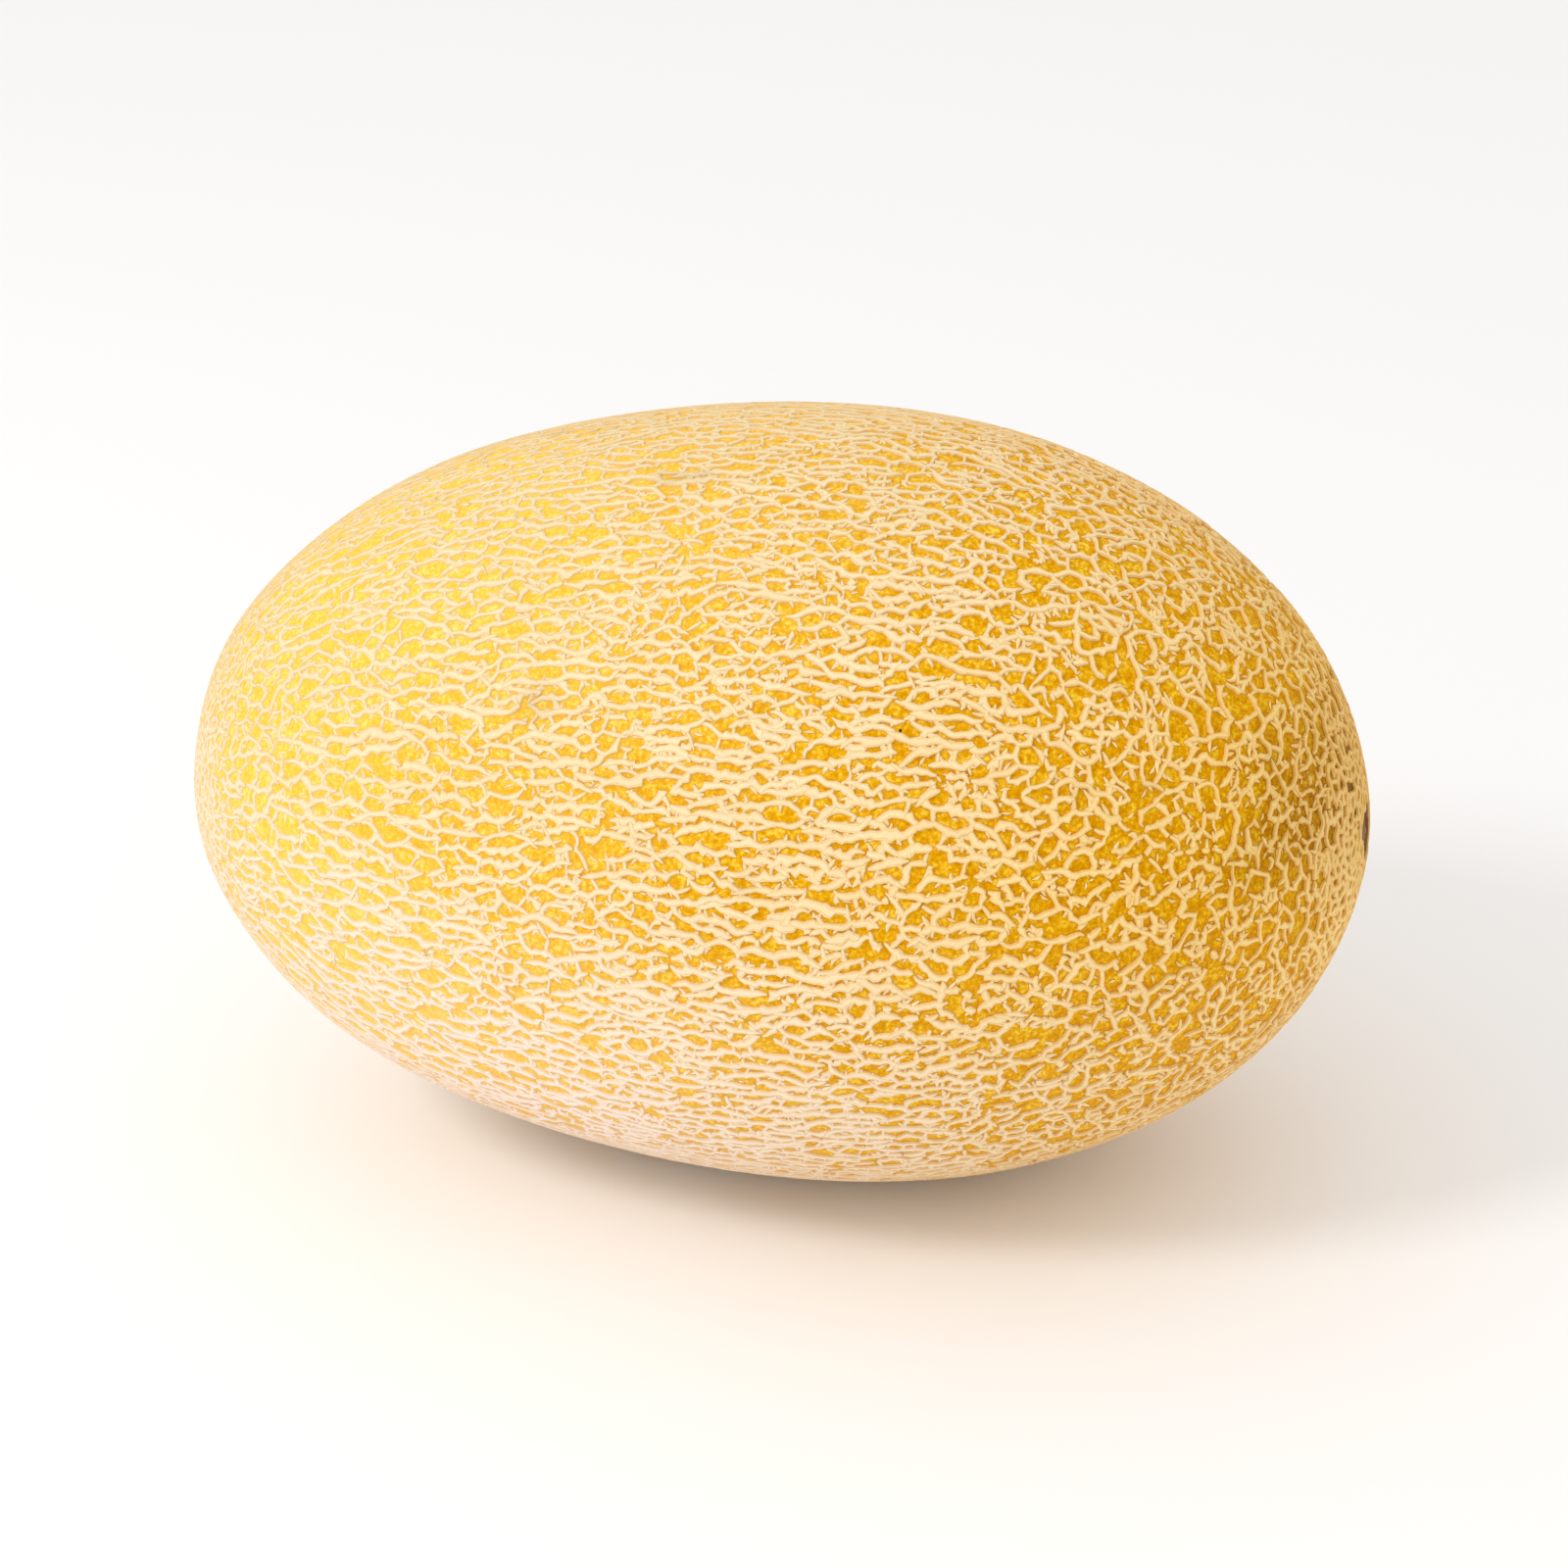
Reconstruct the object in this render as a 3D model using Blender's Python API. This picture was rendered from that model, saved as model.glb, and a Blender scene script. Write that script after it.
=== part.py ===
"""A netted golden muskmelon, grown as one piece, lying on its side on a small flat spot.

The long axis runs along X, with the stem end at +X and the blossom end at -X. The origin is
at the middle of the fruit's box, on the surface that it rests on. The skin is one closed
solid: a golden rind with a net of cork ridges raised from it, larger than life and coarser
than the real net, a sunken stem scar at one end and a small corky button at the other.
"""

import math
import random

import bmesh
import bpy
from mathutils import Vector

# Driving dimensions of the whole fruit, in metres
LENGTH = 0.240
DIAMETER = 0.157
NET_HEIGHT = 0.0015
FLAT_SPOT_DEPTH = 0.0009

# Form: the widest section lies towards the stem end, the blossom end is the slimmer one,
# and both ends droop a little below the long axis
WIDEST_SHIFT = 0.0092
END_FULLNESS = 0.04
END_SKEW = 0.06
STEM_END_DROOP = 0.0010
BLOSSOM_END_DROOP = 0.0018

# The net: how many cells cover the fruit, how far each strays from an even spacing, and how
# much of a cell its bare floor takes along the fruit and round it, which sets ridge widths
CELLS = 640
STRAY = 0.38
FLOOR_ALONG = 0.86
FLOOR_ROUND = 0.77
FLOOR_VARIATION = 0.07
CREST_VARIATION = 0.18
SEED = 23

# The two ends
STEM_SCAR_DEPTH = 0.0022
STEM_SCAR_RIM = 0.0004
BLOSSOM_BUTTON_HEIGHT = 0.0006
SCAR_FLOOR = 0.84

# Worked out from the driving dimensions. The overall sizes are measured over the real, thin
# net, so that the rind itself lies half a millimetre inside them.
REAL_NET_HEIGHT = 0.0005
HALF_LENGTH = LENGTH / 2 - REAL_NET_HEIGHT
HALF_WIDTH = DIAMETER / 2 - REAL_NET_HEIGHT
FLAT_HALF_LENGTH = math.sqrt(2 * FLAT_SPOT_DEPTH * HALF_LENGTH**2 / HALF_WIDTH)
FLAT_HALF_WIDTH = math.sqrt(2 * FLAT_SPOT_DEPTH * HALF_WIDTH)
CELL_ANGLE = math.sqrt(4 * math.pi / CELLS)
END_CELL_ANGLE = 0.8 * CELL_ANGLE

# The ridges begin beyond the flat spot and reach full height further out, in its half sizes
RIDGES_START = 1.15
RIDGES_FULL = 2.1

RIND, CORK, SCAR = range(3)
STEM_END = Vector((1.0, 0.0, 0.0))
BLOSSOM_END = Vector((-1.0, 0.0, 0.0))


def clear_scene():
    """Removes every object, so that the script can run again in an open file."""
    for obj in list(bpy.data.objects):
        bpy.data.objects.remove(obj, do_unlink=True)


def plain_material(name, colour, roughness):
    """A Principled BSDF material with one colour."""
    material = bpy.data.materials.new(name)
    material.use_nodes = True
    shader = material.node_tree.nodes["Principled BSDF"]
    shader.inputs["Base Color"].default_value = (*colour, 1.0)
    shader.inputs["Roughness"].default_value = roughness
    shader.inputs["Metallic"].default_value = 0.0
    return material


def rind_point(direction):
    """The point of the bare rind that a direction from the middle of the fruit leads to."""
    along = direction.x
    across_squared = max(0.0, 1.0 - along * along)
    fullness = 1.0 + along * along * (END_FULLNESS - END_SKEW * along)
    droop = STEM_END_DROOP if along > 0 else BLOSSOM_END_DROOP
    return Vector(
        (
            HALF_LENGTH * along + WIDEST_SHIFT * across_squared,
            HALF_WIDTH * direction.y * fullness,
            HALF_WIDTH * direction.z * fullness - droop * along**4,
        )
    )


def outward(direction):
    """The way out of the rind at a direction from the middle of the fruit."""
    return Vector(
        (
            direction.x / HALF_LENGTH,
            direction.y / HALF_WIDTH,
            direction.z / HALF_WIDTH,
        )
    ).normalized()


def lowest_point():
    """The lowest point of the bare rind, found by small steps along the fruit's underside."""
    steps = 400
    angles = (math.pi * step / steps for step in range(1, steps))
    undersides = (rind_point(Vector((math.cos(a), 0.0, -math.sin(a)))) for a in angles)
    return min(undersides, key=lambda point: point.z)


def smooth_rise(value, start, end):
    """0 below start, 1 above end, and an even curve between them."""
    share = min(1.0, max(0.0, (value - start) / (end - start)))
    return share * share * (3.0 - 2.0 * share)


def ridge_share(point, lowest):
    """How much of its height the net has: none on the flat spot, all of it away from there."""
    if point.z > lowest.z + HALF_WIDTH:
        return 1.0
    along = (point.x - lowest.x) / FLAT_HALF_LENGTH
    across = (point.y - lowest.y) / FLAT_HALF_WIDTH
    return smooth_rise(math.hypot(along, across), RIDGES_START, RIDGES_FULL)


def near(direction, end):
    """True on the one cell that lies over an end of the fruit, and on the corners round it."""
    return direction.angle(end) < END_CELL_ANGLE


def seed_directions():
    """One direction for each cell of the net: a spiral from end to end, strayed at random."""
    draws = random.Random(SEED)
    golden_angle = math.pi * (3.0 - math.sqrt(5.0))
    directions = [STEM_END, BLOSSOM_END]
    reach = math.cos(0.9 * CELL_ANGLE)
    turns = CELLS - len(directions)
    for index in range(turns):
        along = reach * (1.0 - 2.0 * index / (turns - 1))
        radius = math.sqrt(1.0 - along * along)
        turn = golden_angle * index
        direction = Vector((along, radius * math.cos(turn), radius * math.sin(turn)))
        stray = Vector([draws.uniform(-1.0, 1.0) for _ in range(3)])
        # The cells beside an end stay in place, so that they ring its scar evenly
        freedom = smooth_rise(radius, 2.0 * CELL_ANGLE, 3.5 * CELL_ANGLE)
        strayed = direction + stray * STRAY * CELL_ANGLE * freedom
        directions.append(strayed.normalized())
    return directions


def sphere_of_cells():
    """A unit sphere with one face for each cell, whose edges are the lines of the net.

    The hull of the seed directions is made of triangles. A point set in each triangle, and
    each edge turned to join the two points beside it, give the cells that surround the seeds.
    """
    bm = bmesh.new()
    seeds = [bm.verts.new(direction) for direction in seed_directions()]
    bmesh.ops.convex_hull(bm, input=bm.verts)
    hull_edges = list(bm.edges)
    bmesh.ops.poke(bm, faces=bm.faces)
    bmesh.ops.rotate_edges(bm, edges=hull_edges, use_ccw=False)
    bmesh.ops.dissolve_verts(bm, verts=seeds)
    return bm


def draw_floors(bm):
    """Gives each cell a floor of its own, drawn in from the lines of the net.

    Returns the middle direction of each floor's cell.
    """
    draws = random.Random(SEED + 1)
    cells = list(bm.faces)
    # Inset leaves the cells' own faces as the floors, and a ring of new faces round each
    bmesh.ops.inset_individual(bm, faces=cells, thickness=0.001)
    middles = {}
    for floor in cells:
        middle = floor.calc_center_median()
        at_an_end = near(middle, STEM_END) or near(middle, BLOSSOM_END)
        share = 1.0 + draws.uniform(-FLOOR_VARIATION, FLOOR_VARIATION)
        along = SCAR_FLOOR if at_an_end else FLOOR_ALONG * share
        around = SCAR_FLOOR if at_an_end else FLOOR_ROUND * share
        for vert in floor.verts:
            offset = vert.co - middle
            vert.co = middle + Vector((offset.x * along, offset.y * around, offset.z * around))
        middles[floor] = middle
    return middles


def paint_faces(bm, middles):
    """Golden floors, a cork-coloured net and a dark stem scar."""
    for face in bm.faces:
        face.material_index = CORK
    for floor, middle in middles.items():
        floor.material_index = SCAR if near(middle, STEM_END) else RIND


def raise_net(bm, middles, lowest):
    """Moves the sphere out to the fruit's form, with the net's lines above the floors."""
    draws = random.Random(SEED + 2)
    floor_heights = {}
    for floor, middle in middles.items():
        height = 0.0
        if near(middle, STEM_END):
            height = -STEM_SCAR_DEPTH
        elif near(middle, BLOSSOM_END):
            height = BLOSSOM_BUTTON_HEIGHT
        for vert in floor.verts:
            floor_heights[vert] = height
    for vert in bm.verts:
        direction = vert.co.normalized()
        point = rind_point(direction)
        height = floor_heights.get(vert)
        if height is None:
            height = NET_HEIGHT * (1.0 - draws.uniform(0.0, CREST_VARIATION))
            height *= ridge_share(point, lowest)
            if near(direction, STEM_END):
                height += STEM_SCAR_RIM
        vert.co = point + outward(direction) * height


def cut_flat_spot(bm, lowest):
    """Cuts the underside level, and leaves the flat spot at height 0."""
    level = lowest.z + FLAT_SPOT_DEPTH
    bmesh.ops.bisect_plane(
        bm,
        geom=bm.verts[:] + bm.edges[:] + bm.faces[:],
        plane_co=(0.0, 0.0, level),
        plane_no=(0.0, 0.0, -1.0),
        clear_outer=True,
    )
    rim = [edge for edge in bm.edges if edge.is_boundary]
    filled = bmesh.ops.holes_fill(bm, edges=rim, sides=0)
    for face in filled["faces"]:
        face.material_index = RIND
    bmesh.ops.translate(bm, verts=bm.verts, vec=(0.0, 0.0, -level))


def centre_on_origin(bm):
    """Moves the fruit sideways until its box is centred over the origin."""
    for axis in (0, 1):
        places = [vert.co[axis] for vert in bm.verts]
        shift = Vector((0.0, 0.0, 0.0))
        shift[axis] = -(min(places) + max(places)) / 2
        bmesh.ops.translate(bm, verts=bm.verts, vec=shift)


def make_melon(collection):
    """The whole fruit: one closed solid, golden on its floors and pale on its net."""
    bm = sphere_of_cells()
    middles = draw_floors(bm)
    paint_faces(bm, middles)
    lowest = lowest_point()
    raise_net(bm, middles, lowest)
    cut_flat_spot(bm, lowest)
    centre_on_origin(bm)
    bmesh.ops.recalc_face_normals(bm, faces=bm.faces)
    mesh = bpy.data.meshes.new("melon")
    bm.to_mesh(mesh)
    bm.free()
    mesh.materials.append(plain_material("golden rind", (0.90, 0.52, 0.06), 0.45))
    mesh.materials.append(plain_material("cream cork net", (0.93, 0.76, 0.50), 0.80))
    mesh.materials.append(plain_material("dry stem scar", (0.22, 0.11, 0.05), 0.90))
    melon = bpy.data.objects.new("melon", mesh)
    collection.objects.link(melon)


def main():
    clear_scene()
    collection = bpy.data.collections.new("netted_melon")
    bpy.context.scene.collection.children.link(collection)
    make_melon(collection)


main()
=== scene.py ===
"""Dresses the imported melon: a fine golden rind under a net of raised cork strokes.

The fruit is a netted golden muskmelon that lies on its side. Its long axis runs along X, with
the stem end at +X. Everything is in metres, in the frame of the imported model.
"""

import logging
import math
from collections.abc import Sequence
from dataclasses import dataclass, field
from enum import Enum

import bmesh
import bpy
import numpy as np
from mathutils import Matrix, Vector


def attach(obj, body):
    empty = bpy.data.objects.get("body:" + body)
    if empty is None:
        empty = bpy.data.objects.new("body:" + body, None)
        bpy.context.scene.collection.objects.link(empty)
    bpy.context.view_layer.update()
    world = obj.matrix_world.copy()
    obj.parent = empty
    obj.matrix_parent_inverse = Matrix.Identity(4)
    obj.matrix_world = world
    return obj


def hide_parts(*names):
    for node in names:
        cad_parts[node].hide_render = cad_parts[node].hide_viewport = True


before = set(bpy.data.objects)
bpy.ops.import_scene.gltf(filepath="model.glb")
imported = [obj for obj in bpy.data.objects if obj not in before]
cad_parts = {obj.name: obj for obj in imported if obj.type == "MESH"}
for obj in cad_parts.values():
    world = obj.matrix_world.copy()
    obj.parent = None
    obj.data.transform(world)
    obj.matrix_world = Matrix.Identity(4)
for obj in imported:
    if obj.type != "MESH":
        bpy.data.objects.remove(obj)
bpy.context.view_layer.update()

logging.basicConfig(level=logging.INFO, format="%(message)s")
log = logging.getLogger("melon")

# Short names for the types of arrays, of ranges and of Blender's data
Array = np.ndarray
Numbers = np.ndarray | float
Pair = tuple[float, float]
Triple = tuple[float, float, float]
Colour = tuple[float, float, float, float]
Colours = tuple[str, ...]
Socket = bpy.types.NodeSocket
Tree = bpy.types.NodeTree
Material = bpy.types.Material
Mesh = bpy.types.Mesh
Piece = bpy.types.Object

MM = 0.001
ROOT = "root"
NODE = "melon"


class Section(Enum):
    """How a cork stroke is cut across."""

    FLAT = "two feet and a flat top"
    RIDGE = "two feet and one ridge"


def smooth_step(low: float, high: float, value: Numbers) -> Array:
    """An even rise from 0 at low to 1 at high.

    Args:
        low: Where the rise starts.
        high: Where it ends.
        value: One number or an array of them.

    Returns:
        The share at each value.
    """
    share = np.clip((np.asarray(value, float) - low) / (high - low), 0.0, 1.0)
    return share * share * (3.0 - 2.0 * share)


def between(first: Numbers, second: Numbers, share: Numbers) -> Numbers:
    """The value that lies a share of the way from the first to the second."""
    return first + (second - first) * share


def unit(vectors: Array) -> Array:
    """Scales each row to length 1."""
    return vectors / np.linalg.norm(vectors, axis=-1, keepdims=True)


def length_of(line: Array) -> float:
    """The length of a line of points."""
    return float(np.linalg.norm(np.diff(line, axis=0), axis=1).sum())


def waves(directions: Array, count: int, paces: Pair, seed: int) -> Array:
    """A smooth random pattern over the fruit, the sum of some sine waves.

    Args:
        directions: Unit vectors, one a row.
        count: How many waves.
        paces: The least and the most radians that a wave passes in one unit.
        seed: What the waves are drawn from.

    Returns:
        One value for each row, about as often over 1 or under -1 as a bell curve is.
    """
    draws = np.random.default_rng(seed)
    total = np.zeros(len(directions))
    for _ in range(count):
        way = unit(draws.normal(size=3))
        phase = draws.uniform(0.0, 2.0 * math.pi)
        total += np.sin(directions @ way * draws.uniform(*paces) + phase)
    return total * math.sqrt(2.0 / count)


def copied_mesh(name: str, points: Array, loops: Array, sizes: Array) -> Mesh:
    """A mesh from the corners and faces of many copies of a template.

    Args:
        name: The mesh's name.
        points: Its vertices in metres, one a row.
        loops: The vertex numbers of its faces, one after another.
        sizes: How many of them each face has.

    Returns:
        The mesh.
    """
    mesh = bpy.data.meshes.new(name)
    mesh.vertices.add(len(points))
    mesh.vertices.foreach_set("co", points.astype(np.float32).ravel())
    mesh.loops.add(len(loops))
    mesh.loops.foreach_set("vertex_index", loops.astype(np.int32))
    mesh.polygons.add(len(sizes))
    starts = np.cumsum(sizes) - sizes
    mesh.polygons.foreach_set("loop_start", starts.astype(np.int32))
    mesh.update(calc_edges=True)
    return mesh


def add_values(mesh: Mesh, name: str, values: Array) -> None:
    """Gives each vertex of a mesh a value that its material can read."""
    layer = mesh.attributes.new(name, "FLOAT", "POINT")
    layer.data.foreach_set("value", values.astype(np.float32))


def add_piece(mesh: Mesh, material: Material) -> Piece:
    """Puts a mesh in the scene as an object with the same name.

    Args:
        mesh: The mesh, in place.
        material: Its finish.

    Returns:
        The object.
    """
    mesh.materials.append(material)
    piece = bpy.data.objects.new(mesh.name, mesh)
    bpy.context.scene.collection.objects.link(piece)
    return piece


@dataclass(frozen=True)
class FruitForm:
    """The fruit's form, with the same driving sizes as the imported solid.

    A direction is a unit vector from the middle of the fruit, with the stem end at +X.
    """

    length: float = 0.240
    diameter: float = 0.157
    net_height: float = 0.0005
    widest_shift: float = 0.0092
    end_fullness: float = 0.04
    end_skew: float = 0.06
    stem_droop: float = 0.0010
    blossom_droop: float = 0.0018
    flat_depth: float = 0.0009
    scar_aside: float = -0.0025
    scar_above: float = 0.0025
    lump_height: float = 0.00018
    lump_count: int = 14
    lump_paces: Pair = (5.0, 14.0)
    lump_seed: int = 5

    @property
    def half_length(self) -> float:
        """Half the length of the bare rind."""
        return self.length / 2 - self.net_height

    @property
    def half_width(self) -> float:
        """Half the width of the bare rind."""
        return self.diameter / 2 - self.net_height

    @property
    def scales(self) -> Array:
        """Metres for one unit of direction along each axis."""
        return np.array((self.half_length, self.half_width, self.half_width))

    @property
    def ground(self) -> float:
        """The height of the flat spot before the fruit is set on the floor."""
        angles = np.linspace(0.01, math.pi - 0.01, 721)
        below = np.stack((np.cos(angles), 0 * angles, -np.sin(angles)), axis=1)
        return float(self.smooth_points(below)[:, 2].min()) + self.flat_depth

    def smooth_points(self, directions: Array) -> Array:
        """The rind's points without its small lumps.

        Args:
            directions: Unit vectors, one a row.

        Returns:
            Points in metres, one a row, before the fruit is set on the floor.
        """
        along = directions[:, 0]
        full = 1.0 + along**2 * (self.end_fullness - self.end_skew * along)
        droop = np.where(along > 0, self.stem_droop, self.blossom_droop)
        x = self.half_length * along + self.widest_shift * np.maximum(0.0, 1.0 - along**2)
        y = self.half_width * directions[:, 1] * full
        z = self.half_width * directions[:, 2] * full - droop * along**4
        return np.stack((x, y, z), axis=1)

    def outward(self, directions: Array) -> Array:
        """The way out of the rind at each direction."""
        return unit(directions / self.scales)

    def lengthwise(self, directions: Array) -> Array:
        """The way along the rind towards the stem end at each direction."""
        out = self.outward(directions)
        return unit(np.array((1.0, 0.0, 0.0)) - out * out[:, :1])

    def from_scar(self, places: Array) -> Array:
        """How far to the side of and above the nearer end's scar each place lies.

        The stem scar sits a little beside the long axis, and the blossom scar on it.

        Args:
            places: Stretched directions, one a row, in metres.

        Returns:
            Two distances in metres a row.
        """
        centre = np.where(places[:, :1] > 0, (self.scar_aside, self.scar_above), (0.0, 0.0))
        return places[:, 1:] - centre

    def lumps(self, directions: Array) -> Array:
        """Slight waves of the rind, as heights in metres."""
        pattern = waves(directions, self.lump_count, self.lump_paces, self.lump_seed)
        return pattern * self.lump_height

    def place(self, directions: Array, heights: Array, floor: float) -> Array:
        """Points at given heights over the rind, with the fruit set on the floor.

        Args:
            directions: Unit vectors, one a row.
            heights: Heights over the rind in metres, one a row.
            floor: The lowest that any point may lie, in metres.

        Returns:
            Points in metres, one a row.
        """
        raised = (heights + self.lumps(directions))[:, None]
        points = self.smooth_points(directions) + self.outward(directions) * raised
        points[:, 2] -= self.ground
        points[:, 2] = np.maximum(points[:, 2], floor)
        return points


@dataclass(frozen=True)
class NetRegions:
    """How the net changes from the blossom end to the stem end.

    Every method takes the share along the fruit, from -1 at the blossom end to 1 at the stem
    end. In the left and middle the cells are long, under thick strokes that run along the
    fruit. Towards the stem the net is an open tangle of twigs, then its main strokes run
    round the fruit, and over both tips it closes.
    """

    cell_blossom: float = 3.4 * MM
    cell_middle: float = 2.85 * MM
    cell_twigs: float = 4.1 * MM
    cell_tips: float = 2.5 * MM
    longest: float = 1.75
    roundest: float = 0.8
    twigs_start: Pair = (0.10, 0.68)
    hoops_start: Pair = (0.7, 0.9)
    most_hoops: float = 0.5
    stem_tip: Pair = (0.89, 0.99)
    blossom_tip: Pair = (0.86, 0.98)
    streaks_end: Pair = (0.75, 0.97)
    blossom_side: Pair = (0.1, 0.7)
    low_side: Pair = (0.35, 0.75)
    low_lean: float = 0.7
    bold_spots: tuple[Triple, ...] = (
        (0.42, -0.88, 0.05),
        (-0.5, -0.65, -0.6),
        (-0.1, 0.7, 0.65),
        (-0.3, 0.25, -0.9),
    )
    bold_reach: float = 0.5
    patch_count: int = 24
    patch_paces: Pair = (12.0, 30.0)
    patch_start: Pair = (-1.2, 1.8)
    patch_seed: int = 3

    def twigs(self, along: Numbers) -> Array:
        """How far the net is a tangle of twigs rather than long strokes."""
        return smooth_step(*self.twigs_start, along)

    def hoops(self, along: Numbers) -> Array:
        """How far the main strokes run round the fruit."""
        return self.most_hoops * smooth_step(*self.hoops_start, along) * (1.0 - self.tips(along))

    def tips(self, along: Numbers) -> Array:
        """How far the net closes up, over each end of the fruit."""
        stem = smooth_step(*self.stem_tip, along)
        return np.maximum(stem, smooth_step(*self.blossom_tip, -np.asarray(along)))

    def lean(self, along: Numbers) -> Array:
        """1 where strokes run along the fruit, 0 where they run all ways, -1 round it."""
        ended = smooth_step(*self.streaks_end, np.abs(along))
        return (1.0 - self.twigs(along)) * (1.0 - ended) - self.hoops(along)

    def lean_at(self, directions: Array) -> Array:
        """The lean at each direction: on the low side, strokes run along to the stem end too.

        Args:
            directions: Unit vectors, one a row.

        Returns:
            A lean from -1 to 1 for each row.
        """
        lean = self.lean(directions[:, 0])
        low = smooth_step(*self.low_side, -directions[:, 2]) * (1.0 - self.tips(directions[:, 0]))
        return between(lean, np.maximum(lean, self.low_lean), low)

    def boldness(self, directions: Array) -> Array:
        """How far the net is coarser and thicker than elsewhere, in spots and small patches.

        Args:
            directions: Unit vectors, one a row.

        Returns:
            A share from 0 to 1 for each row.
        """
        spots = unit(np.array(self.bold_spots))
        gaps = np.linalg.norm(directions[:, None] - spots[None], axis=2).min(axis=1)
        in_spot = np.exp(-((gaps / self.bold_reach) ** 2))
        pattern = waves(directions, self.patch_count, self.patch_paces, self.patch_seed)
        patches = smooth_step(*self.patch_start, pattern)
        return np.clip(0.7 * in_spot + 0.5 * patches - 0.05, 0.0, 1.0)

    def across(self, along: Numbers) -> Array:
        """The distance between cells round the fruit, where they are as long as wide.

        Args:
            along: The share along the fruit.

        Returns:
            Metres, for each value.
        """
        blossom_side = smooth_step(*self.blossom_side, -np.asarray(along))
        open_net = between(self.cell_middle, self.cell_blossom, blossom_side)
        open_net = open_net + (self.cell_twigs - self.cell_middle) * self.twigs(along)
        return between(open_net, self.cell_tips, self.tips(along))

    def longness(self, along: Numbers) -> Array:
        """How many times longer a cell is along the fruit than round it."""
        lean = self.lean(along)
        return self.longest ** np.maximum(lean, 0.0) * self.roundest ** np.maximum(-lean, 0.0)


@dataclass
class NetPlan:
    """The lines of the net: cells spread over the fruit, and the chains between them.

    A pair of strays or cuts holds the value among long strokes and the value among twigs. The
    drops are the shares of cells left out where the net is fine and where it is bold.
    """

    form: FruitForm
    regions: NetRegions
    strays: Pair = (0.42, 0.52)
    packing: float = 0.77
    drops: Pair = (0.04, 0.18)
    open_links: float = 0.18
    open_streaks: float = 0.08
    open_twigs: float = 0.28
    node_weights: Pair = (0.55, 1.45)
    one_branch: float = 0.5
    two_branches: float = 0.28
    lone_branch: Pair = (0.6, 0.85)
    facing_branch: Pair = (0.28, 0.42)
    cuts: Pair = (0.10, 0.08)
    longest_chain: int = 5
    streak_chance: float = 0.4
    longest_streak: int = 10
    straightest: float = 0.38
    lean_bonus: float = 0.9
    aligned_enough: float = 1.2
    least_lean: float = 0.35
    seed: int = 11
    seeds: Array = field(init=False)
    nodes: Array = field(init=False)
    first_free: int = field(init=False)
    bold: Array = field(init=False)
    leans: Array = field(init=False)
    chains: list[list[int]] = field(init=False)

    def __post_init__(self) -> None:
        """Works out the plan once."""
        self.draws = np.random.default_rng(self.seed)
        self.seeds, pattern = self.spread_seeds()
        triangles = self.triangles_of(pattern)
        self.nodes = self.nodes_of(triangles)
        self.first_free = len(self.nodes)
        edges = self.opened(self.edges_of(triangles))
        self.bold = self.regions.boldness(self.nodes)
        self.leans = self.regions.lean_at(self.nodes)
        self.chains = self.shortened(self.chains_of(edges))

    def spread_seeds(self) -> tuple[Array, Array]:
        """Spreads one seed for each cell, close together where the cells are small.

        Returns:
            The seeds as directions on the fruit, and the same seeds on a sphere on which
            every cell is about as long as it is wide.
        """
        angle = np.linspace(math.pi, 0.0, 6001)[1:-1]
        along = np.cos(angle)
        profile = self.form.smooth_points(np.stack((along, np.sin(angle), 0 * angle), axis=1))
        radius = profile[:, 1]
        step = np.hypot(np.gradient(profile[:, 0]), np.gradient(radius))
        across = self.regions.across(along)
        longness = self.regions.longness(along)
        crowd = np.cumsum(2 * math.pi * radius * step / (across**2 * longness * self.packing))
        count = int(crowd[-1])
        # A map that keeps angles, as a seaman's chart does, once the cells are shortened
        chart = np.cumsum(step / (radius * longness))
        chart -= np.interp(0.0, along, chart)
        index = np.arange(count) + 0.5
        place = np.interp(index, crowd, along)
        turn = math.pi * (3.0 - math.sqrt(5.0)) * index
        reach = between(*self.strays, self.regions.twigs(place))
        reach *= np.interp(place, along, across)
        stray = self.draws.uniform(-1.0, 1.0, (count, 2))
        pull = np.interp(place, along, longness) * reach * stray[:, 0]
        slope = np.interp(place, along, np.gradient(along) / step)
        place = np.clip(place + pull * slope, -0.99999, 0.99999)
        turn = turn + stray[:, 1] * reach / np.interp(place, along, radius)
        ring = np.sqrt(1.0 - place**2)
        seeds = np.stack((place, ring * np.cos(turn), ring * np.sin(turn)), axis=1)
        drops = between(*self.drops, self.regions.boldness(seeds))
        kept = self.draws.random(count) > drops * (1.0 - self.regions.tips(place))
        polar = 2.0 * np.arctan(np.exp(np.interp(place, along, chart)))
        flat = np.sin(polar)
        pattern = np.stack((-np.cos(polar), flat * np.cos(turn), flat * np.sin(turn)), axis=1)
        return seeds[kept], pattern[kept]

    def triangles_of(self, pattern: Array) -> Array:
        """Joins each three neighbouring seeds.

        Args:
            pattern: The seeds on a sphere, one a row.

        Returns:
            Three seed numbers a row.
        """
        bm = bmesh.new()
        numbers = {bm.verts.new(place): number for number, place in enumerate(pattern)}
        bmesh.ops.convex_hull(bm, input=bm.verts)
        found = np.array([[numbers[v] for v in f.verts] for f in bm.faces if len(f.verts) == 3])
        bm.free()
        return found

    def nodes_of(self, triangles: Array) -> Array:
        """A meeting point of the net inside each triangle, never quite in its middle."""
        weights = self.draws.uniform(*self.node_weights, (len(triangles), 3, 1))
        return unit((self.seeds[triangles] * weights).sum(axis=1))

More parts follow.
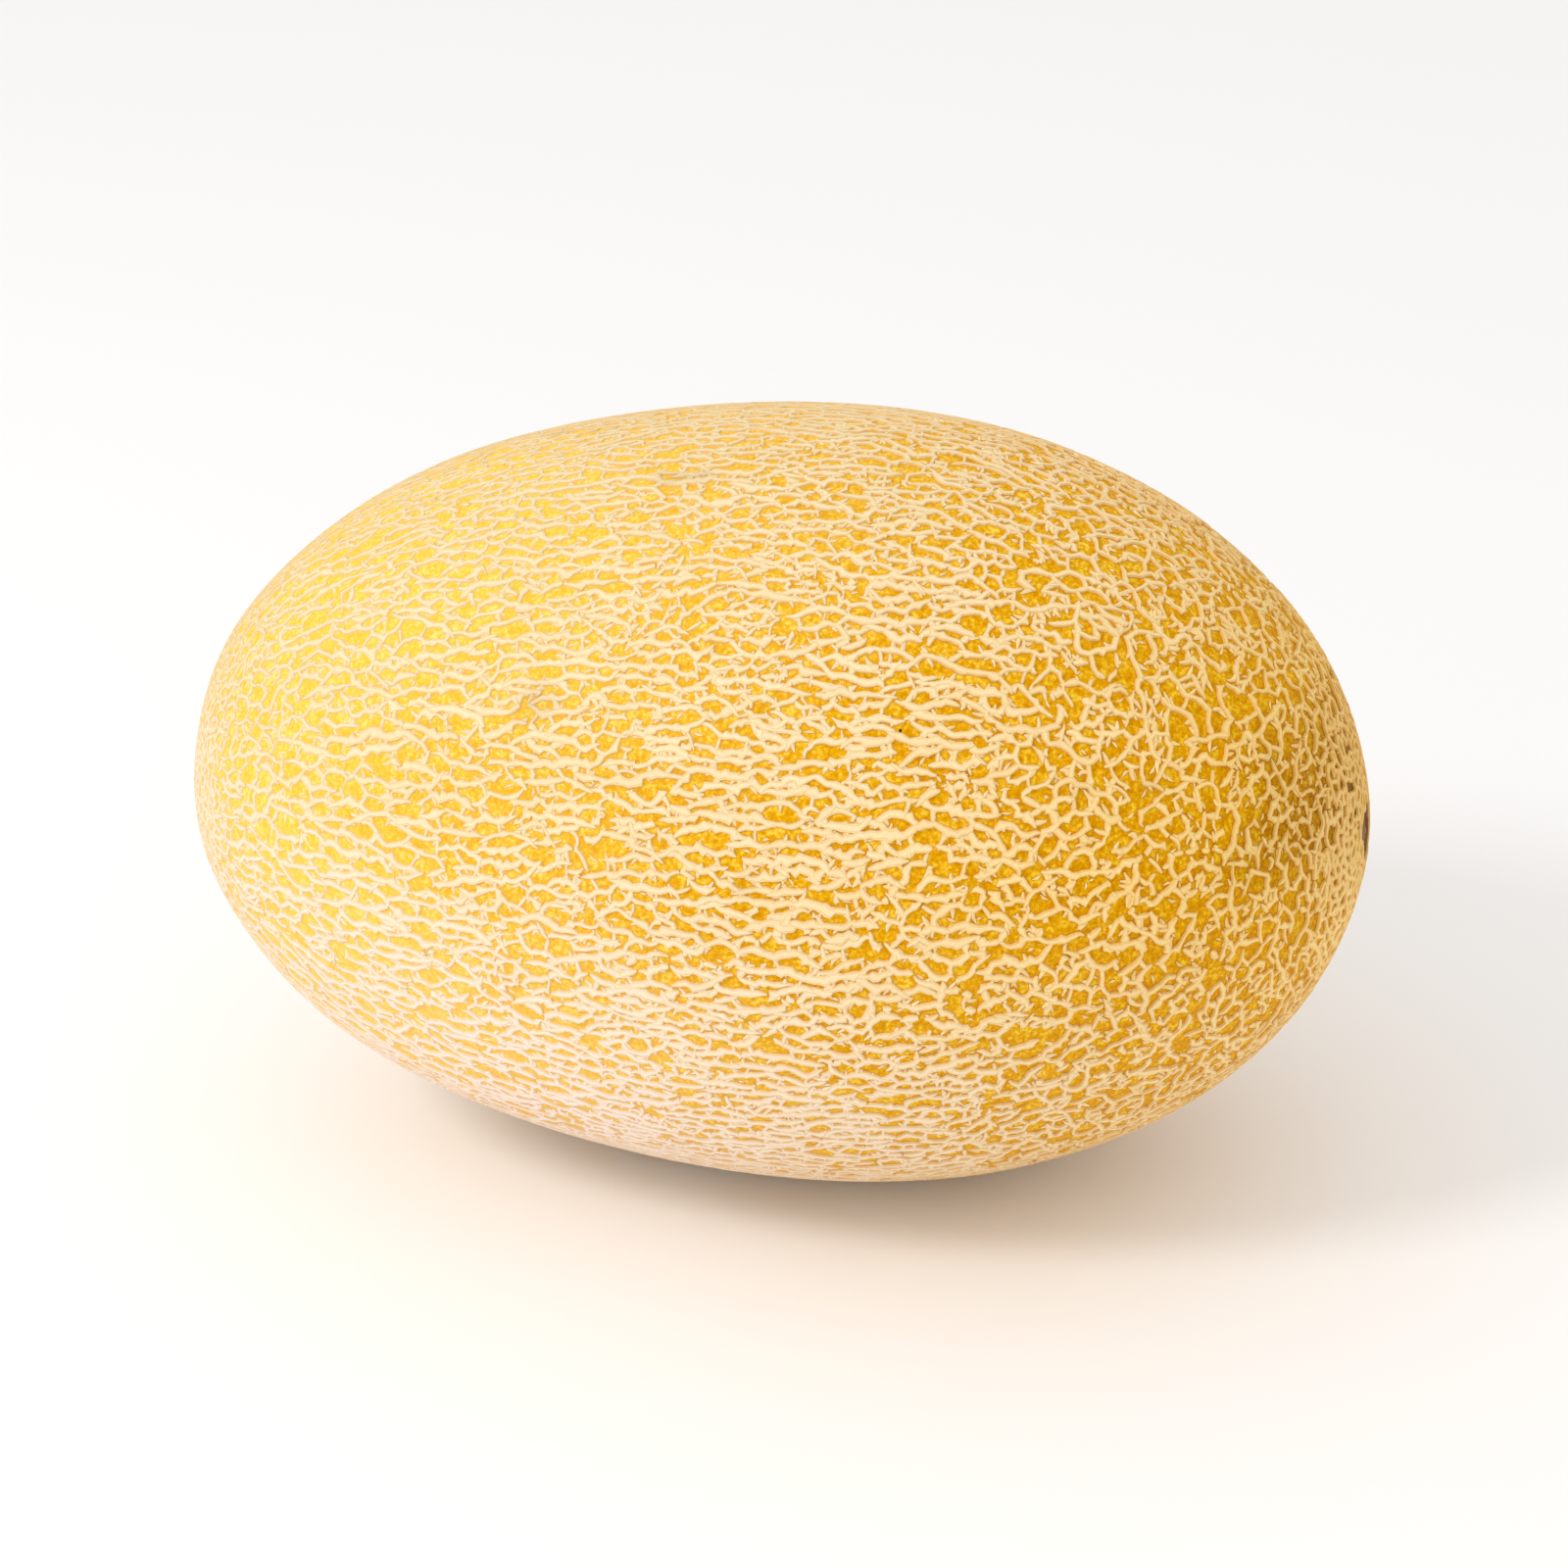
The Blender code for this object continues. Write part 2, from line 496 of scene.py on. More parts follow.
    def edges_of(self, triangles: Array) -> Array:
        """Pairs of triangles that share a side.

        Args:
            triangles: Three seed numbers a row.

        Returns:
            Two triangle numbers a row, which are also the node numbers of an edge.
        """
        sides = np.concatenate([triangles[:, [0, 1]], triangles[:, [1, 2]], triangles[:, [2, 0]]])
        owner = np.tile(np.arange(len(triangles)), 3)
        sides.sort(axis=1)
        order = np.lexsort((sides[:, 1], sides[:, 0]))
        sides, owner = sides[order], owner[order]
        twin = (sides[1:] == sides[:-1]).all(axis=1)
        return np.stack((owner[:-1][twin], owner[1:][twin]), axis=1)

    def opened(self, edges: Array) -> Array:
        """Breaks some sides of cells, which leaves a branch with a free end, two or none.

        Args:
            edges: Two node numbers a row.

        Returns:
            Two node numbers a row for each whole side and each branch. The free ends are new
            nodes, after the old ones.
        """
        starts = self.nodes[edges[:, 0]]
        spans = (self.nodes[edges[:, 1]] - starts) * self.form.scales
        aligned = np.abs((unit(spans) * self.form.lengthwise(starts)).sum(axis=1))
        lean = np.maximum(self.regions.lean_at(starts), 0.0)
        streaks = between(self.open_links, self.open_streaks, aligned**2)
        chance = between(self.open_twigs, streaks, lean)
        broken = self.draws.random(len(edges)) < chance * (1.0 - self.regions.tips(starts[:, 0]))
        sides = edges[broken]
        pick = self.draws.random(len(sides))
        one = pick < self.one_branch
        both = (pick > self.one_branch) & (pick < self.one_branch + self.two_branches)
        kept = [edges[~broken]]
        for near, grows, either_end, lengths in (
            (0, one, True, self.lone_branch),
            (1, both, False, self.facing_branch),
            (0, both, False, self.facing_branch),
        ):
            turned = (self.draws.random(len(sides)) < 0.5) & either_end
            roots = np.where(turned, sides[:, 1 - near], sides[:, near])[grows]
            others = sides.sum(axis=1)[grows] - roots
            reach = self.draws.uniform(*lengths, (len(roots), 1))
            ends = self.nodes[roots] * (1.0 - reach) + self.nodes[others] * reach
            numbers = len(self.nodes) + np.arange(len(roots))
            self.nodes = np.vstack((self.nodes, unit(ends)))
            kept.append(np.stack((roots, numbers), axis=1))
        return np.concatenate(kept)

    def chains_of(self, edges: Array) -> list[list[int]]:
        """Joins edges into chains, each as straight as the net allows at every meeting.

        Args:
            edges: Two node numbers a row.

        Returns:
            The node numbers of each chain, in order.
        """
        places = self.nodes * self.form.scales
        lengthwise = self.form.lengthwise(self.nodes)
        leans = self.leans * (1.0 - self.regions.tips(self.nodes[:, 0]))
        twigs = self.regions.twigs(self.nodes[:, 0])
        cuts = between(*self.cuts, twigs)
        meets: list[list[int]] = [[] for _ in places]
        for number, (a, b) in enumerate(edges):
            meets[a].append(number)
            meets[b].append(number)
        follows: dict[tuple[int, int], int] = {}
        for node, around in enumerate(meets):
            if self.draws.random() < cuts[node]:
                continue
            others = [edges[n][0] if edges[n][1] == node else edges[n][1] for n in around]
            ways = unit(places[others] - places[node])
            aligned = np.abs(ways @ lengthwise[node])
            best, pair = -1.0, None
            for i in range(len(around)):
                for j in range(i + 1, len(around)):
                    straight = -float(ways[i] @ ways[j])
                    along = aligned[i] + aligned[j] - self.aligned_enough
                    bonus = self.lean_bonus * leans[node] * along
                    if straight > self.straightest and straight + bonus > best:
                        best, pair = straight + bonus, (around[i], around[j])
            if pair is not None:
                follows[(node, pair[0])] = pair[1]
                follows[(node, pair[1])] = pair[0]
        return self.walk(edges, follows)

    def shortened(self, chains: list[list[int]]) -> list[list[int]]:
        """Cuts chains into strokes of a few edges, which meet at the cuts.

        Args:
            chains: The node numbers of each chain.

        Returns:
            The node numbers of each stroke.
        """
        strokes = []
        for chain in chains:
            start = 0
            lean = max(self.least_lean, float(self.leans[chain[0]]))
            chance = self.streak_chance * lean * (0.6 + 0.8 * self.bold[chain[0]])
            while start < len(chain) - 1:
                streak = self.draws.random() < chance
                longest = self.longest_streak if streak else self.longest_chain
                end = start + int(self.draws.integers(longest // 2, longest + 1))
                strokes.append(chain[start : end + 1])
                start = end
        return strokes

    @staticmethod
    def walk(edges: Array, follows: dict[tuple[int, int], int]) -> list[list[int]]:
        """Follows each chain from one end to the other.

        Args:
            edges: Two node numbers a row.
            follows: The edge that a chain goes on with, by node and the edge it came by.

        Returns:
            The node numbers of each chain, in order.
        """
        used = np.zeros(len(edges), bool)
        chains = []

        def run(number: int, node: int) -> list[int]:
            """The nodes from here on, having come to this node by this edge."""
            path = [node]
            while (node, number) in follows:
                number = follows[(node, number)]
                if used[number]:
                    break
                used[number] = True
                a, b = edges[number]
                node = int(b if a == node else a)
                path.append(node)
            return path

        for start, (a, b) in enumerate(edges):
            if used[start]:
                continue
            used[start] = True
            forwards = run(start, int(b))
            backwards = run(start, int(a))
            chains.append(backwards[::-1] + forwards)
        return chains


@dataclass
class Stroke:
    """One cork stroke as rows of samples along its middle line.

    The line is in stretched directions, which are about metres from the fruit's middle.
    """

    section: Section
    line: Array
    left: Array
    right: Array
    height: Array
    slope: float
    tone: float


@dataclass(frozen=True)
class Bar:
    """A straight bar of cork, which every stroke with as many samples is bent from."""

    ring: Array
    side: Array
    level: Array
    loops: Array
    sizes: Array

    @classmethod
    def make(cls, samples: int, section: Section) -> "Bar":
        """Cuts a bar into rings of corners.

        Args:
            samples: How many rings it has.
            section: How it is cut across.

        Returns:
            The bar, with the ring, the side (-1 to 1) and the level (0 at a foot, 1 on top)
            of each corner, and the corners of its faces one after another.
        """
        bm = bmesh.new()
        bmesh.ops.create_cube(bm, size=2.0)
        lengthwise = [e for e in bm.edges if abs(e.verts[0].co.x - e.verts[1].co.x) > 1.0]
        bmesh.ops.subdivide_edges(bm, edges=lengthwise, cuts=samples - 2, use_grid_fill=True)
        if section is Section.RIDGE:
            top = [v for v in bm.verts if v.co.z > 0]
            bmesh.ops.scale(bm, verts=top, vec=(1.0, 0.0, 1.0))
            bmesh.ops.remove_doubles(bm, verts=top, dist=0.1 / samples)
        bm.verts.index_update()
        places = np.array([v.co for v in bm.verts])
        loops = np.array([v.index for f in bm.faces for v in f.verts])
        sizes = np.array([len(f.verts) for f in bm.faces])
        bm.free()
        ring = np.round((places[:, 0] + 1.0) / 2.0 * (samples - 1)).astype(int)
        return cls(ring, places[:, 1], (places[:, 2] > 0).astype(float), loops, sizes)


@dataclass
class CorkNet:
    """The raised net, as thousands of closed strokes fused by eye where they cross.

    A pair of widths runs from the thinnest stroke to the thickest. A pair of slopes, thorn
    steps or longest thorns holds the value among long strokes and the value among twigs.
    """

    form: FruitForm
    regions: NetRegions
    plan: NetPlan
    sample_step: float = 0.95 * MM
    height_places: Triple = (-0.7, 0.1, 0.68)
    heights: Triple = (0.27 * MM, 0.38 * MM, 0.58 * MM)
    link_height: float = 0.84
    height_spread: Pair = (0.88, 1.12)
    bold_heights: Pair = (0.92, 1.22)
    streak_widths: Pair = (0.50 * MM, 1.10 * MM)
    twig_widths: Pair = (0.62 * MM, 0.94 * MM)
    tip_width: float = 1.20 * MM
    slopes: Pair = (0.28 * MM, 0.26 * MM)
    bold_widths: Pair = (0.84, 1.14)
    width_spread: Pair = (0.85, 1.15)
    foot_depth: float = 0.15 * MM
    meeting_swell: float = 0.25
    meeting_reach: float = 0.8 * MM
    ridge_limit: float = 0.42 * MM
    stray: float = 0.16 * MM
    straighten: float = 0.15
    link_slide: float = 0.4
    kink: float = 0.08
    kink_places: Pair = (0.35, 0.65)
    corner_cut: float = 0.13
    sample_limits: tuple[int, int] = (4, 60)
    rough_limits: Pair = (-0.45, 0.5)
    ends_short: Pair = (0.4 * MM, 1.2 * MM)
    ends_far: Pair = (0.7 * MM, 2.0 * MM)
    ends_joined: Pair = (0.05 * MM, 0.3 * MM)
    point_run: float = 1.5 * MM
    point_width: float = 0.34
    blunt_run: float = 0.35 * MM
    blunt_width: float = 0.7
    jag: float = 0.14
    waver: float = 0.22
    waver_step: int = 3
    barb_chance: float = 0.12
    barb_reach: Pair = (0.25 * MM, 0.7 * MM)
    thorn_steps: Pair = (6.0 * MM, 6.6 * MM)
    thorn_roots_streaks: Pair = (0.28 * MM, 0.50 * MM)
    thorn_roots_twigs: Pair = (0.38 * MM, 0.60 * MM)
    thorn_widths: Triple = (1.3, 1.0, 0.4)
    thorn_heights: Triple = (1.05, 0.98, 0.45)
    thorn_turn: float = 1.1
    thorn_bend: float = 0.15
    shortest_thorn: float = 0.8 * MM
    longest_thorns: Pair = (2.0 * MM, 2.8 * MM)
    island_chance: float = 0.32
    island_halves: Pair = (0.5 * MM, 1.15 * MM)
    island_widths: Pair = (0.2 * MM, 0.38 * MM)
    stem_gap: float = 5.6 * MM
    blossom_gap: float = 1.6 * MM
    cap_start: float = 0.955
    gores: int = 5
    sharp_angle: float = math.radians(50)
    seed: int = 29
    strokes: list[Stroke] = field(init=False)

    def __post_init__(self) -> None:
        """Draws every stroke once."""
        self.draws = np.random.default_rng(self.seed)
        self.strokes = []
        self.add_chains()
        self.add_thorns()
        self.add_islands()
        self.strokes = [stroke for stroke in self.strokes if self.clear_of_scars(stroke)]

    def clear_of_scars(self, stroke: Stroke) -> bool:
        """Tells whether a stroke leaves the stem scar and the blossom scar bare.

        Args:
            stroke: The stroke.

        Returns:
            False for one that would cover a scar.
        """
        away = np.linalg.norm(self.form.from_scar(stroke.line), axis=1).min()
        gap = self.stem_gap if stroke.line[0, 0] > 0 else self.blossom_gap
        return bool(away > gap)

    def kinked(self, corners: Array) -> Array:
        """Puts a small kink between each two corners of a chain.

        Args:
            corners: The chain's points, one a row.

        Returns:
            The corners with the kinks between them.
        """
        spans = np.diff(corners, axis=0)
        lengths = np.linalg.norm(spans, axis=1, keepdims=True)
        outs = self.form.outward(unit(corners[:-1] / self.form.scales))
        sides = np.cross(outs, spans / lengths)
        kinks = self.draws.normal(0.0, self.kink, (len(spans), 1)) * lengths
        places = self.draws.uniform(*self.kink_places, (len(spans), 1))
        line = np.empty((2 * len(corners) - 1, 3))
        line[::2] = corners
        line[1::2] = corners[:-1] + spans * places + sides * kinks
        return line

    def resampled(self, corners: Array, before: float, after: float) -> Array:
        """A line past some corners, with its corners eased and with even samples.

        Args:
            corners: The line's corner points, one a row.
            before: How far the line runs on before its first corner, in metres.
            after: How far it runs on after its last corner.

        Returns:
            The samples, one a row.
        """
        start = corners[0] - unit(corners[1] - corners[0]) * before
        end = corners[-1] + unit(corners[-1] - corners[-2]) * after
        line = np.vstack((start, corners[1:-1], end))
        first = between(line[:-1], line[1:], self.corner_cut)
        second = between(line[1:], line[:-1], self.corner_cut)
        inner = np.stack((first, second), axis=1).reshape(-1, 3)
        line = np.vstack((line[:1], inner, line[-1:]))
        run = np.concatenate(([0.0], np.cumsum(np.linalg.norm(np.diff(line, axis=0), axis=1))))
        count = int(np.clip(round(run[-1] / self.sample_step) + 1, *self.sample_limits))
        at = np.linspace(0.0, run[-1], count)
        return np.stack([np.interp(at, run, line[:, i]) for i in range(3)], axis=1)

    def jagged(self, count: int, width: float) -> Array:
        """The reach of one side of a stroke: uneven, with a barb here and there.

        Args:
            count: How many samples.
            width: The stroke's half width.

        Returns:
            The distance from the middle line at each sample.
        """
        rough = self.draws.normal(0.0, self.jag, count)
        knots = np.arange(0, count + self.waver_step, self.waver_step)
        wavers = self.draws.normal(0.0, self.waver, len(knots))
        rough += np.interp(np.arange(count), knots, wavers)
        side = width * (1.0 + np.clip(rough, *self.rough_limits))
        barbs = self.draws.random(count) < self.barb_chance
        return side + barbs * self.draws.uniform(*self.barb_reach, count)

    def add_chains(self) -> None:
        """One stroke for each chain of the plan."""
        places = self.plan.nodes * self.form.scales
        ways = self.form.lengthwise(self.plan.nodes)
        for chain in self.plan.chains:
            self.strokes.append(self.chain_stroke(chain, places[chain], ways[chain]))

    def chain_stroke(self, chain: list[int], corners: Array, ways: Array) -> Stroke:
        """The stroke along one chain.

        Args:
            chain: The chain's node numbers.
            corners: The nodes' places, one a row.
            ways: The way along the fruit at each.

        Returns:
            The stroke.
        """
        along = float(corners[:, 0].mean() / self.form.half_length)
        lean = float(self.plan.leans[chain].mean())
        bold = float(self.plan.bold[chain[0]])
        tips = float(self.regions.tips(along))
        twigs = float(self.regions.twigs(along))
        hoops = float(self.regions.hoops(along))
        corners = self.loosened(corners, max(lean, 0.0), twigs)
        aligned = self.alignment(corners, ways)
        if len(chain) == 2 and lean > 0.3 and max(chain) < self.plan.first_free:
            # A short link slides until it lies more squarely across the streaks
            middle = corners[:, 0].mean()
            corners[:, 0] += (middle - corners[:, 0]) * self.link_slide * lean
        main = aligned if lean >= 0 else 1.0 - 0.8 * aligned
        grade = main**1.5 * min(1.0, 0.5 + 0.09 * len(chain))
        ends = [self.end_reach(grade, twigs + hoops, tips) for _ in range(2)]
        for end, node in enumerate((chain[0], chain[-1])):
            if node >= self.plan.first_free:
                ends[end] = (0.0, True)
        line = self.resampled(self.kinked(corners), ends[0][0], ends[1][0])
        width = self.width_of(grade, len(chain), abs(lean), tips)
        width *= between(*self.bold_widths, bold)
        taper = self.taper(line, ends[0][1], ends[1][1])
        shape = self.fullness(line, corners, grade * max(lean, 0.0)) * taper
        left = self.jagged(len(line), width / 2) * shape
        right = self.jagged(len(line), width / 2) * shape
        height = self.height_at(along) * between(self.link_height, 1.0, grade)
        height *= between(*self.bold_heights, bold) * self.draws.uniform(*self.height_spread)
        rise = height * (0.2 + 0.8 * np.minimum(1.0, taper * 1.25))
        tone = float(self.draws.random())
        section = Section.FLAT if width > self.ridge_limit else Section.RIDGE
        slope = between(*self.slopes, twigs)
        return Stroke(section, line, left, right, rise, slope, tone)

    def loosened(self, corners: Array, lean: float, twigs: float) -> Array:
        """Moves a chain's points a little at random and eases its bends.

        Args:
            corners: The points, one a row.
            lean: How far the strokes here run along the fruit.
            twigs: How far the net is a tangle of twigs here.

        Returns:
            The moved points.
        """
        moved = corners + self.draws.normal(0.0, self.stray * (0.4 + 0.6 * lean), corners.shape)
        middles = (moved[:-2] + moved[2:]) / 2
        moved[1:-1] += (middles - moved[1:-1]) * self.straighten * (0.5 + 0.5 * twigs)
        return moved

    def fullness(self, line: Array, corners: Array, streak: float) -> Array:
        """How full a stroke is along its length: swollen at meetings, and widest half way.

        Args:
            line: The samples of its middle line.
            corners: The meetings that it passes through.
            streak: How far it is a main stroke that runs along the fruit.

        Returns:
            One share of its width for each sample.
        """
        gaps = np.linalg.norm(line[:, None] - corners[None], axis=2).min(axis=1)
        swell = 0.92 + self.meeting_swell * np.exp(-((gaps / self.meeting_reach) ** 2))
        belly = np.sin(np.linspace(0.0, math.pi, len(line))) - 0.5
        return swell * (1.0 + 0.5 * streak * belly)

    @staticmethod
    def alignment(corners: Array, ways: Array) -> float:
        """How far a chain runs along the fruit rather than round it.

        Args:
            corners: The chain's points, one a row.
            ways: The way along the fruit at each.

        Returns:
            1 for a chain along the fruit and 0 for one round it.
        """
        spans = np.diff(corners, axis=0)
        aligned = np.abs((spans * ways[:-1]).sum(axis=1)).sum()
        return float(min(1.0, aligned / np.linalg.norm(spans, axis=1).sum()))

    def height_at(self, along: float) -> float:
        """The height of a main stroke, low at the blossom end and high at the stem side.

        Args:
            along: The share along the fruit.

        Returns:
            The height in metres.
        """
        return float(np.interp(along, self.height_places, self.heights))

    def width_of(self, grade: float, corners: int, lean: float, tips: float) -> float:
        """The width of a chain's flat top.

        Args:
            grade: 0 for a thin link and 1 for a main stroke.
            corners: How many meetings it passes through.
            lean: How far the strokes here share one way.
            tips: How far the net closes up here.

        Returns:
            The width in metres.
        """
        streak = between(*self.streak_widths, grade)
        pick = min(1.0, self.draws.random() ** 0.7 * (0.5 + 0.25 * corners))
        twig = between(*self.twig_widths, pick)
        width = between(between(twig, streak, lean), self.tip_width, tips)
        return float(width * self.draws.uniform(*self.width_spread))

    def end_reach(self, grade: float, twigs: float, tips: float) -> tuple[float, bool]:
        """How far a chain runs past its last meeting, and whether its end shows.

        Args:
            grade: 0 for a thin link and 1 for a main stroke.
            twigs: How far the net is a tangle of twigs here, and more where it runs round.
            tips: How far it closes up here.

        Returns:
            The distance in metres, and True for an end that runs out to a point.
        """
        pick = self.draws.random()
        short = 0.05 * (1.0 - tips)
        far = (0.2 + 0.5 * grade) * (1.0 - 0.7 * min(1.0, twigs)) * (1.0 - tips)
        if pick < short:
            return -float(self.draws.uniform(*self.ends_short)), True
        if pick < short + far:
            return float(self.draws.uniform(*self.ends_far)), True
        return float(self.draws.uniform(*self.ends_joined)), False

    def taper(self, line: Array, start_shows: bool, end_shows: bool) -> Array:
        """The share of its full width that a stroke has along its length.

        Args:
            line: The samples of its middle line.
            start_shows: True if it starts at a point.
            end_shows: True if it ends at one.

        Returns:
            One share for each sample.
        """
        length = length_of(line)
        at = np.linspace(0.0, length, len(line))
        shares = np.ones(len(line))
        for shows, away in ((start_shows, at), (end_shows, length - at)):
            run = min(self.point_run, 0.5 * length) if shows else self.blunt_run
            least = self.point_width if shows else self.blunt_width
            rise = np.clip(away / run, 0.0, 1.0) ** 0.8
            shares *= between(least, 1.0, rise)
        return shares

    def add_thorns(self) -> None:
        """Short side branches to either side of the chains."""
        for chain in list(self.strokes):
            along = float(chain.line[0, 0] / self.form.half_length)
            if self.regions.tips(along) > 0.6:
                continue
            twigs = float(self.regions.twigs(along))
            step = between(*self.thorn_steps, twigs)
            for _ in range(self.draws.poisson(length_of(chain.line) / step)):
                self.strokes.append(self.thorn(chain, twigs))

    def thorn(self, chain: Stroke, twigs: float) -> Stroke:
        """A side branch at some place of a stroke.

        Args:
            chain: The stroke that it grows from.
            twigs: How far the net is a tangle of twigs there.

        Returns:
            The branch.
        """
        at = int(self.draws.integers(1, len(chain.line) - 1))
        base = chain.line[at]
        tangent = unit(chain.line[at + 1] - chain.line[at - 1])
        out = self.form.outward(unit(base / self.form.scales)[None])[0]
        side = np.cross(out, tangent) * self.draws.choice((-1.0, 1.0))
        way = unit(side + tangent * self.draws.uniform(-self.thorn_turn, self.thorn_turn))
        longest = between(*self.longest_thorns, twigs)
        reach = self.draws.uniform(self.shortest_thorn, longest)
        reach += min(chain.left[at], chain.right[at])
        bend = tangent * self.draws.uniform(-self.thorn_bend, self.thorn_bend) * reach
        line = np.stack((base, base + way * reach * 0.5 + bend, base + way * reach))
        pick = self.draws.random()
        streak_root = between(*self.thorn_roots_streaks, pick)
        root = between(streak_root, between(*self.thorn_roots_twigs, pick), twigs)
        widths = np.array(self.thorn_widths) * root
        heights = np.array(self.thorn_heights) * chain.height[at]
        return Stroke(Section.RIDGE, line, widths, widths, heights, chain.slope, chain.tone)

    def add_islands(self) -> None:
        """Small lone strokes on the floors of some cells."""
        ways = self.form.lengthwise(self.plan.seeds)
        outs = self.form.outward(self.plan.seeds)
        for place, way, out in zip(self.plan.seeds, ways, outs, strict=True):
            along = float(place[0])
            if self.regions.tips(along) > 0.3:
                continue
            twigs = float(self.regions.twigs(along))
            if self.draws.random() <= self.island_chance * (0.6 + 0.6 * twigs):
                self.strokes.append(self.island(place, way, out))

    def island(self, place: Array, way: Array, out: Array) -> Stroke:
        """A lone stroke in the middle of a cell.

        Args:
            place: The cell's direction.
            way: The way along the fruit there.
            out: The way out of the rind there.

        Returns:
            The stroke.
        """
        along = float(place[0])
        lean = float(self.regions.lean(along))
        side = np.cross(out, way)
        turn = self.draws.normal(0.0, 0.5) + (0.0 if lean > 0 else math.pi / 2)
        turn += self.draws.uniform(-1.4, 1.4) * (1.0 - abs(lean))
        run = way * math.cos(turn) + side * math.sin(turn)
        half = self.draws.uniform(*self.island_halves)
        base = place * self.form.scales + (way + side) * self.draws.normal(0.0, 0.45) * MM
        bow = np.cross(out, run) * self.draws.uniform(-0.25, 0.25) * half
        line = np.stack((base - run * half, base + bow, base + run * half))
        widths = np.array((0.2, 1.0, 0.2)) * self.draws.uniform(*self.island_widths)
        heights = np.array((0.3, 1.0, 0.3)) * self.draws.uniform(0.6, 0.95) * self.height_at(along)
        tone = float(self.draws.random())
        return Stroke(Section.RIDGE, line, widths, widths, heights, self.slopes[1], tone)

    def zone_of(self, stroke: Stroke) -> str:
        """Finds the piece that a stroke belongs to.

        Args:
            stroke: The stroke.

        Returns:
            The piece's name.
        """
        place = stroke.line[len(stroke.line) // 2] / self.form.scales
        if abs(place[0]) > self.cap_start:
            return "net_stem_end" if place[0] > 0 else "net_blossom_end"
        turn = math.atan2(place[1], -place[2]) / (2.0 * math.pi) % 1.0
        return f"net_gore_{int(turn * self.gores) + 1}"

    def build(self, material: Material) -> list[Piece]:
        """Makes the net's pieces.

        Args:
            material: The cork.

        Returns:
            One object for each zone.
        """
        zones: dict[str, list[Stroke]] = {}
        for stroke in self.strokes:
            zones.setdefault(self.zone_of(stroke), []).append(stroke)
        return [self.build_zone(name, zones[name], material) for name in sorted(zones)]

    def build_zone(self, name: str, strokes: Sequence[Stroke], material: Material) -> Piece:
        """Makes one piece of the net.

        Args:
            name: The piece's name.
            strokes: Its strokes.
            material: The cork.

        Returns:
            The object.
        """
        groups: dict[tuple[int, Section], list[Stroke]] = {}
        for stroke in strokes:
            groups.setdefault((len(stroke.line), stroke.section), []).append(stroke)
        # Strips four times as long as a ring is wide fill a square page evenly
        page = math.sqrt(4.0 * sum(len(stroke.line) for stroke in strokes))
        column, row, total = 0.0, 0, 0
        points, loops, sizes, strips = [], [], [], []
        values: dict[str, list[Array]] = {"rise": [], "side": [], "tone": []}
        for (samples, section), group in groups.items():
            bar = Bar.make(samples, section)
            corners, heights = self.bent(bar, group)
            points.append(corners)
            offsets = total + np.arange(len(group))[:, None] * len(bar.ring)
            loops.append((bar.loops[None] + offsets).ravel())
            sizes.append(np.tile(bar.sizes, len(group)))
            values["rise"].append(heights / MM)
            values["side"].append(np.tile(bar.side, len(group)))
            values["tone"].append(np.repeat([s.tone for s in group], len(bar.ring)))
            spread = 0.5 + bar.side * np.where(bar.level > 0, 0.28, 0.45)
            for _ in group:
                if column + samples > page:
                    column, row = 0.0, row + 1
                strips.append(np.stack((column + bar.ring, row + spread), axis=1))
                column += samples
            total += len(group) * len(bar.ring)
        mesh = copied_mesh(name, np.vstack(points), np.concatenate(loops), np.concatenate(sizes))
        for value, shares in values.items():
            add_values(mesh, value, np.concatenate(shares))
        self.add_bake_map(mesh, np.vstack(strips), np.concatenate(values["rise"]))
        mesh.shade_smooth()
        mesh.set_sharp_from_angle(angle=self.sharp_angle)
        return add_piece(mesh, material)

    def bent(self, bar: Bar, group: Sequence[Stroke]) -> tuple[Array, Array]:
        """Bends copies of a bar along strokes and lays them on the rind.

        Args:
            bar: The bar.
            group: Strokes with as many samples as it has rings.

        Returns:
            The corners of all copies, one a row, and their heights over the rind, in metres.
        """
        line = np.stack([s.line for s in group])
        left = np.stack([s.left for s in group])
        right = np.stack([s.right for s in group])
        high = np.stack([s.height for s in group])
        base = unit(line / self.form.scales)
        out = self.form.outward(base.reshape(-1, 3)).reshape(base.shape)
        across = unit(np.cross(out, unit(np.gradient(line, axis=1))))
        slope = np.array([s.slope for s in group])[:, None]
        foot = slope * (bar.level == 0)
        reach = np.where(bar.side > 0, left[:, bar.ring], right[:, bar.ring]) + foot
        shift = across[:, bar.ring] * (reach * bar.side)[..., None]
        moved = unit((line[:, bar.ring] + shift) / self.form.scales).reshape(-1, 3)
        heights = np.where(bar.level > 0, high[:, bar.ring], -self.foot_depth).reshape(-1)
        return self.form.place(moved, heights, 0.0), heights

    @staticmethod
    def add_bake_map(mesh: Mesh, strips: Array, rises: Array) -> None:
        """Gives a piece a map in which every stroke has a strip of its own.

        Args:
            mesh: The piece's mesh.
            strips: Each vertex's column and row.
            rises: Each vertex's height over the rind.
        """
        corners = np.empty(len(mesh.loops), np.int32)
        mesh.loops.foreach_get("vertex_index", corners)
        starts = np.empty(len(mesh.polygons), np.int32)
        mesh.polygons.foreach_get("loop_start", starts)
        face_sizes = np.diff(np.append(starts, len(corners)))
        under = np.maximum.reduceat(rises[corners], starts) < 0
        hidden = under.repeat(face_sizes)
        places = strips[corners]
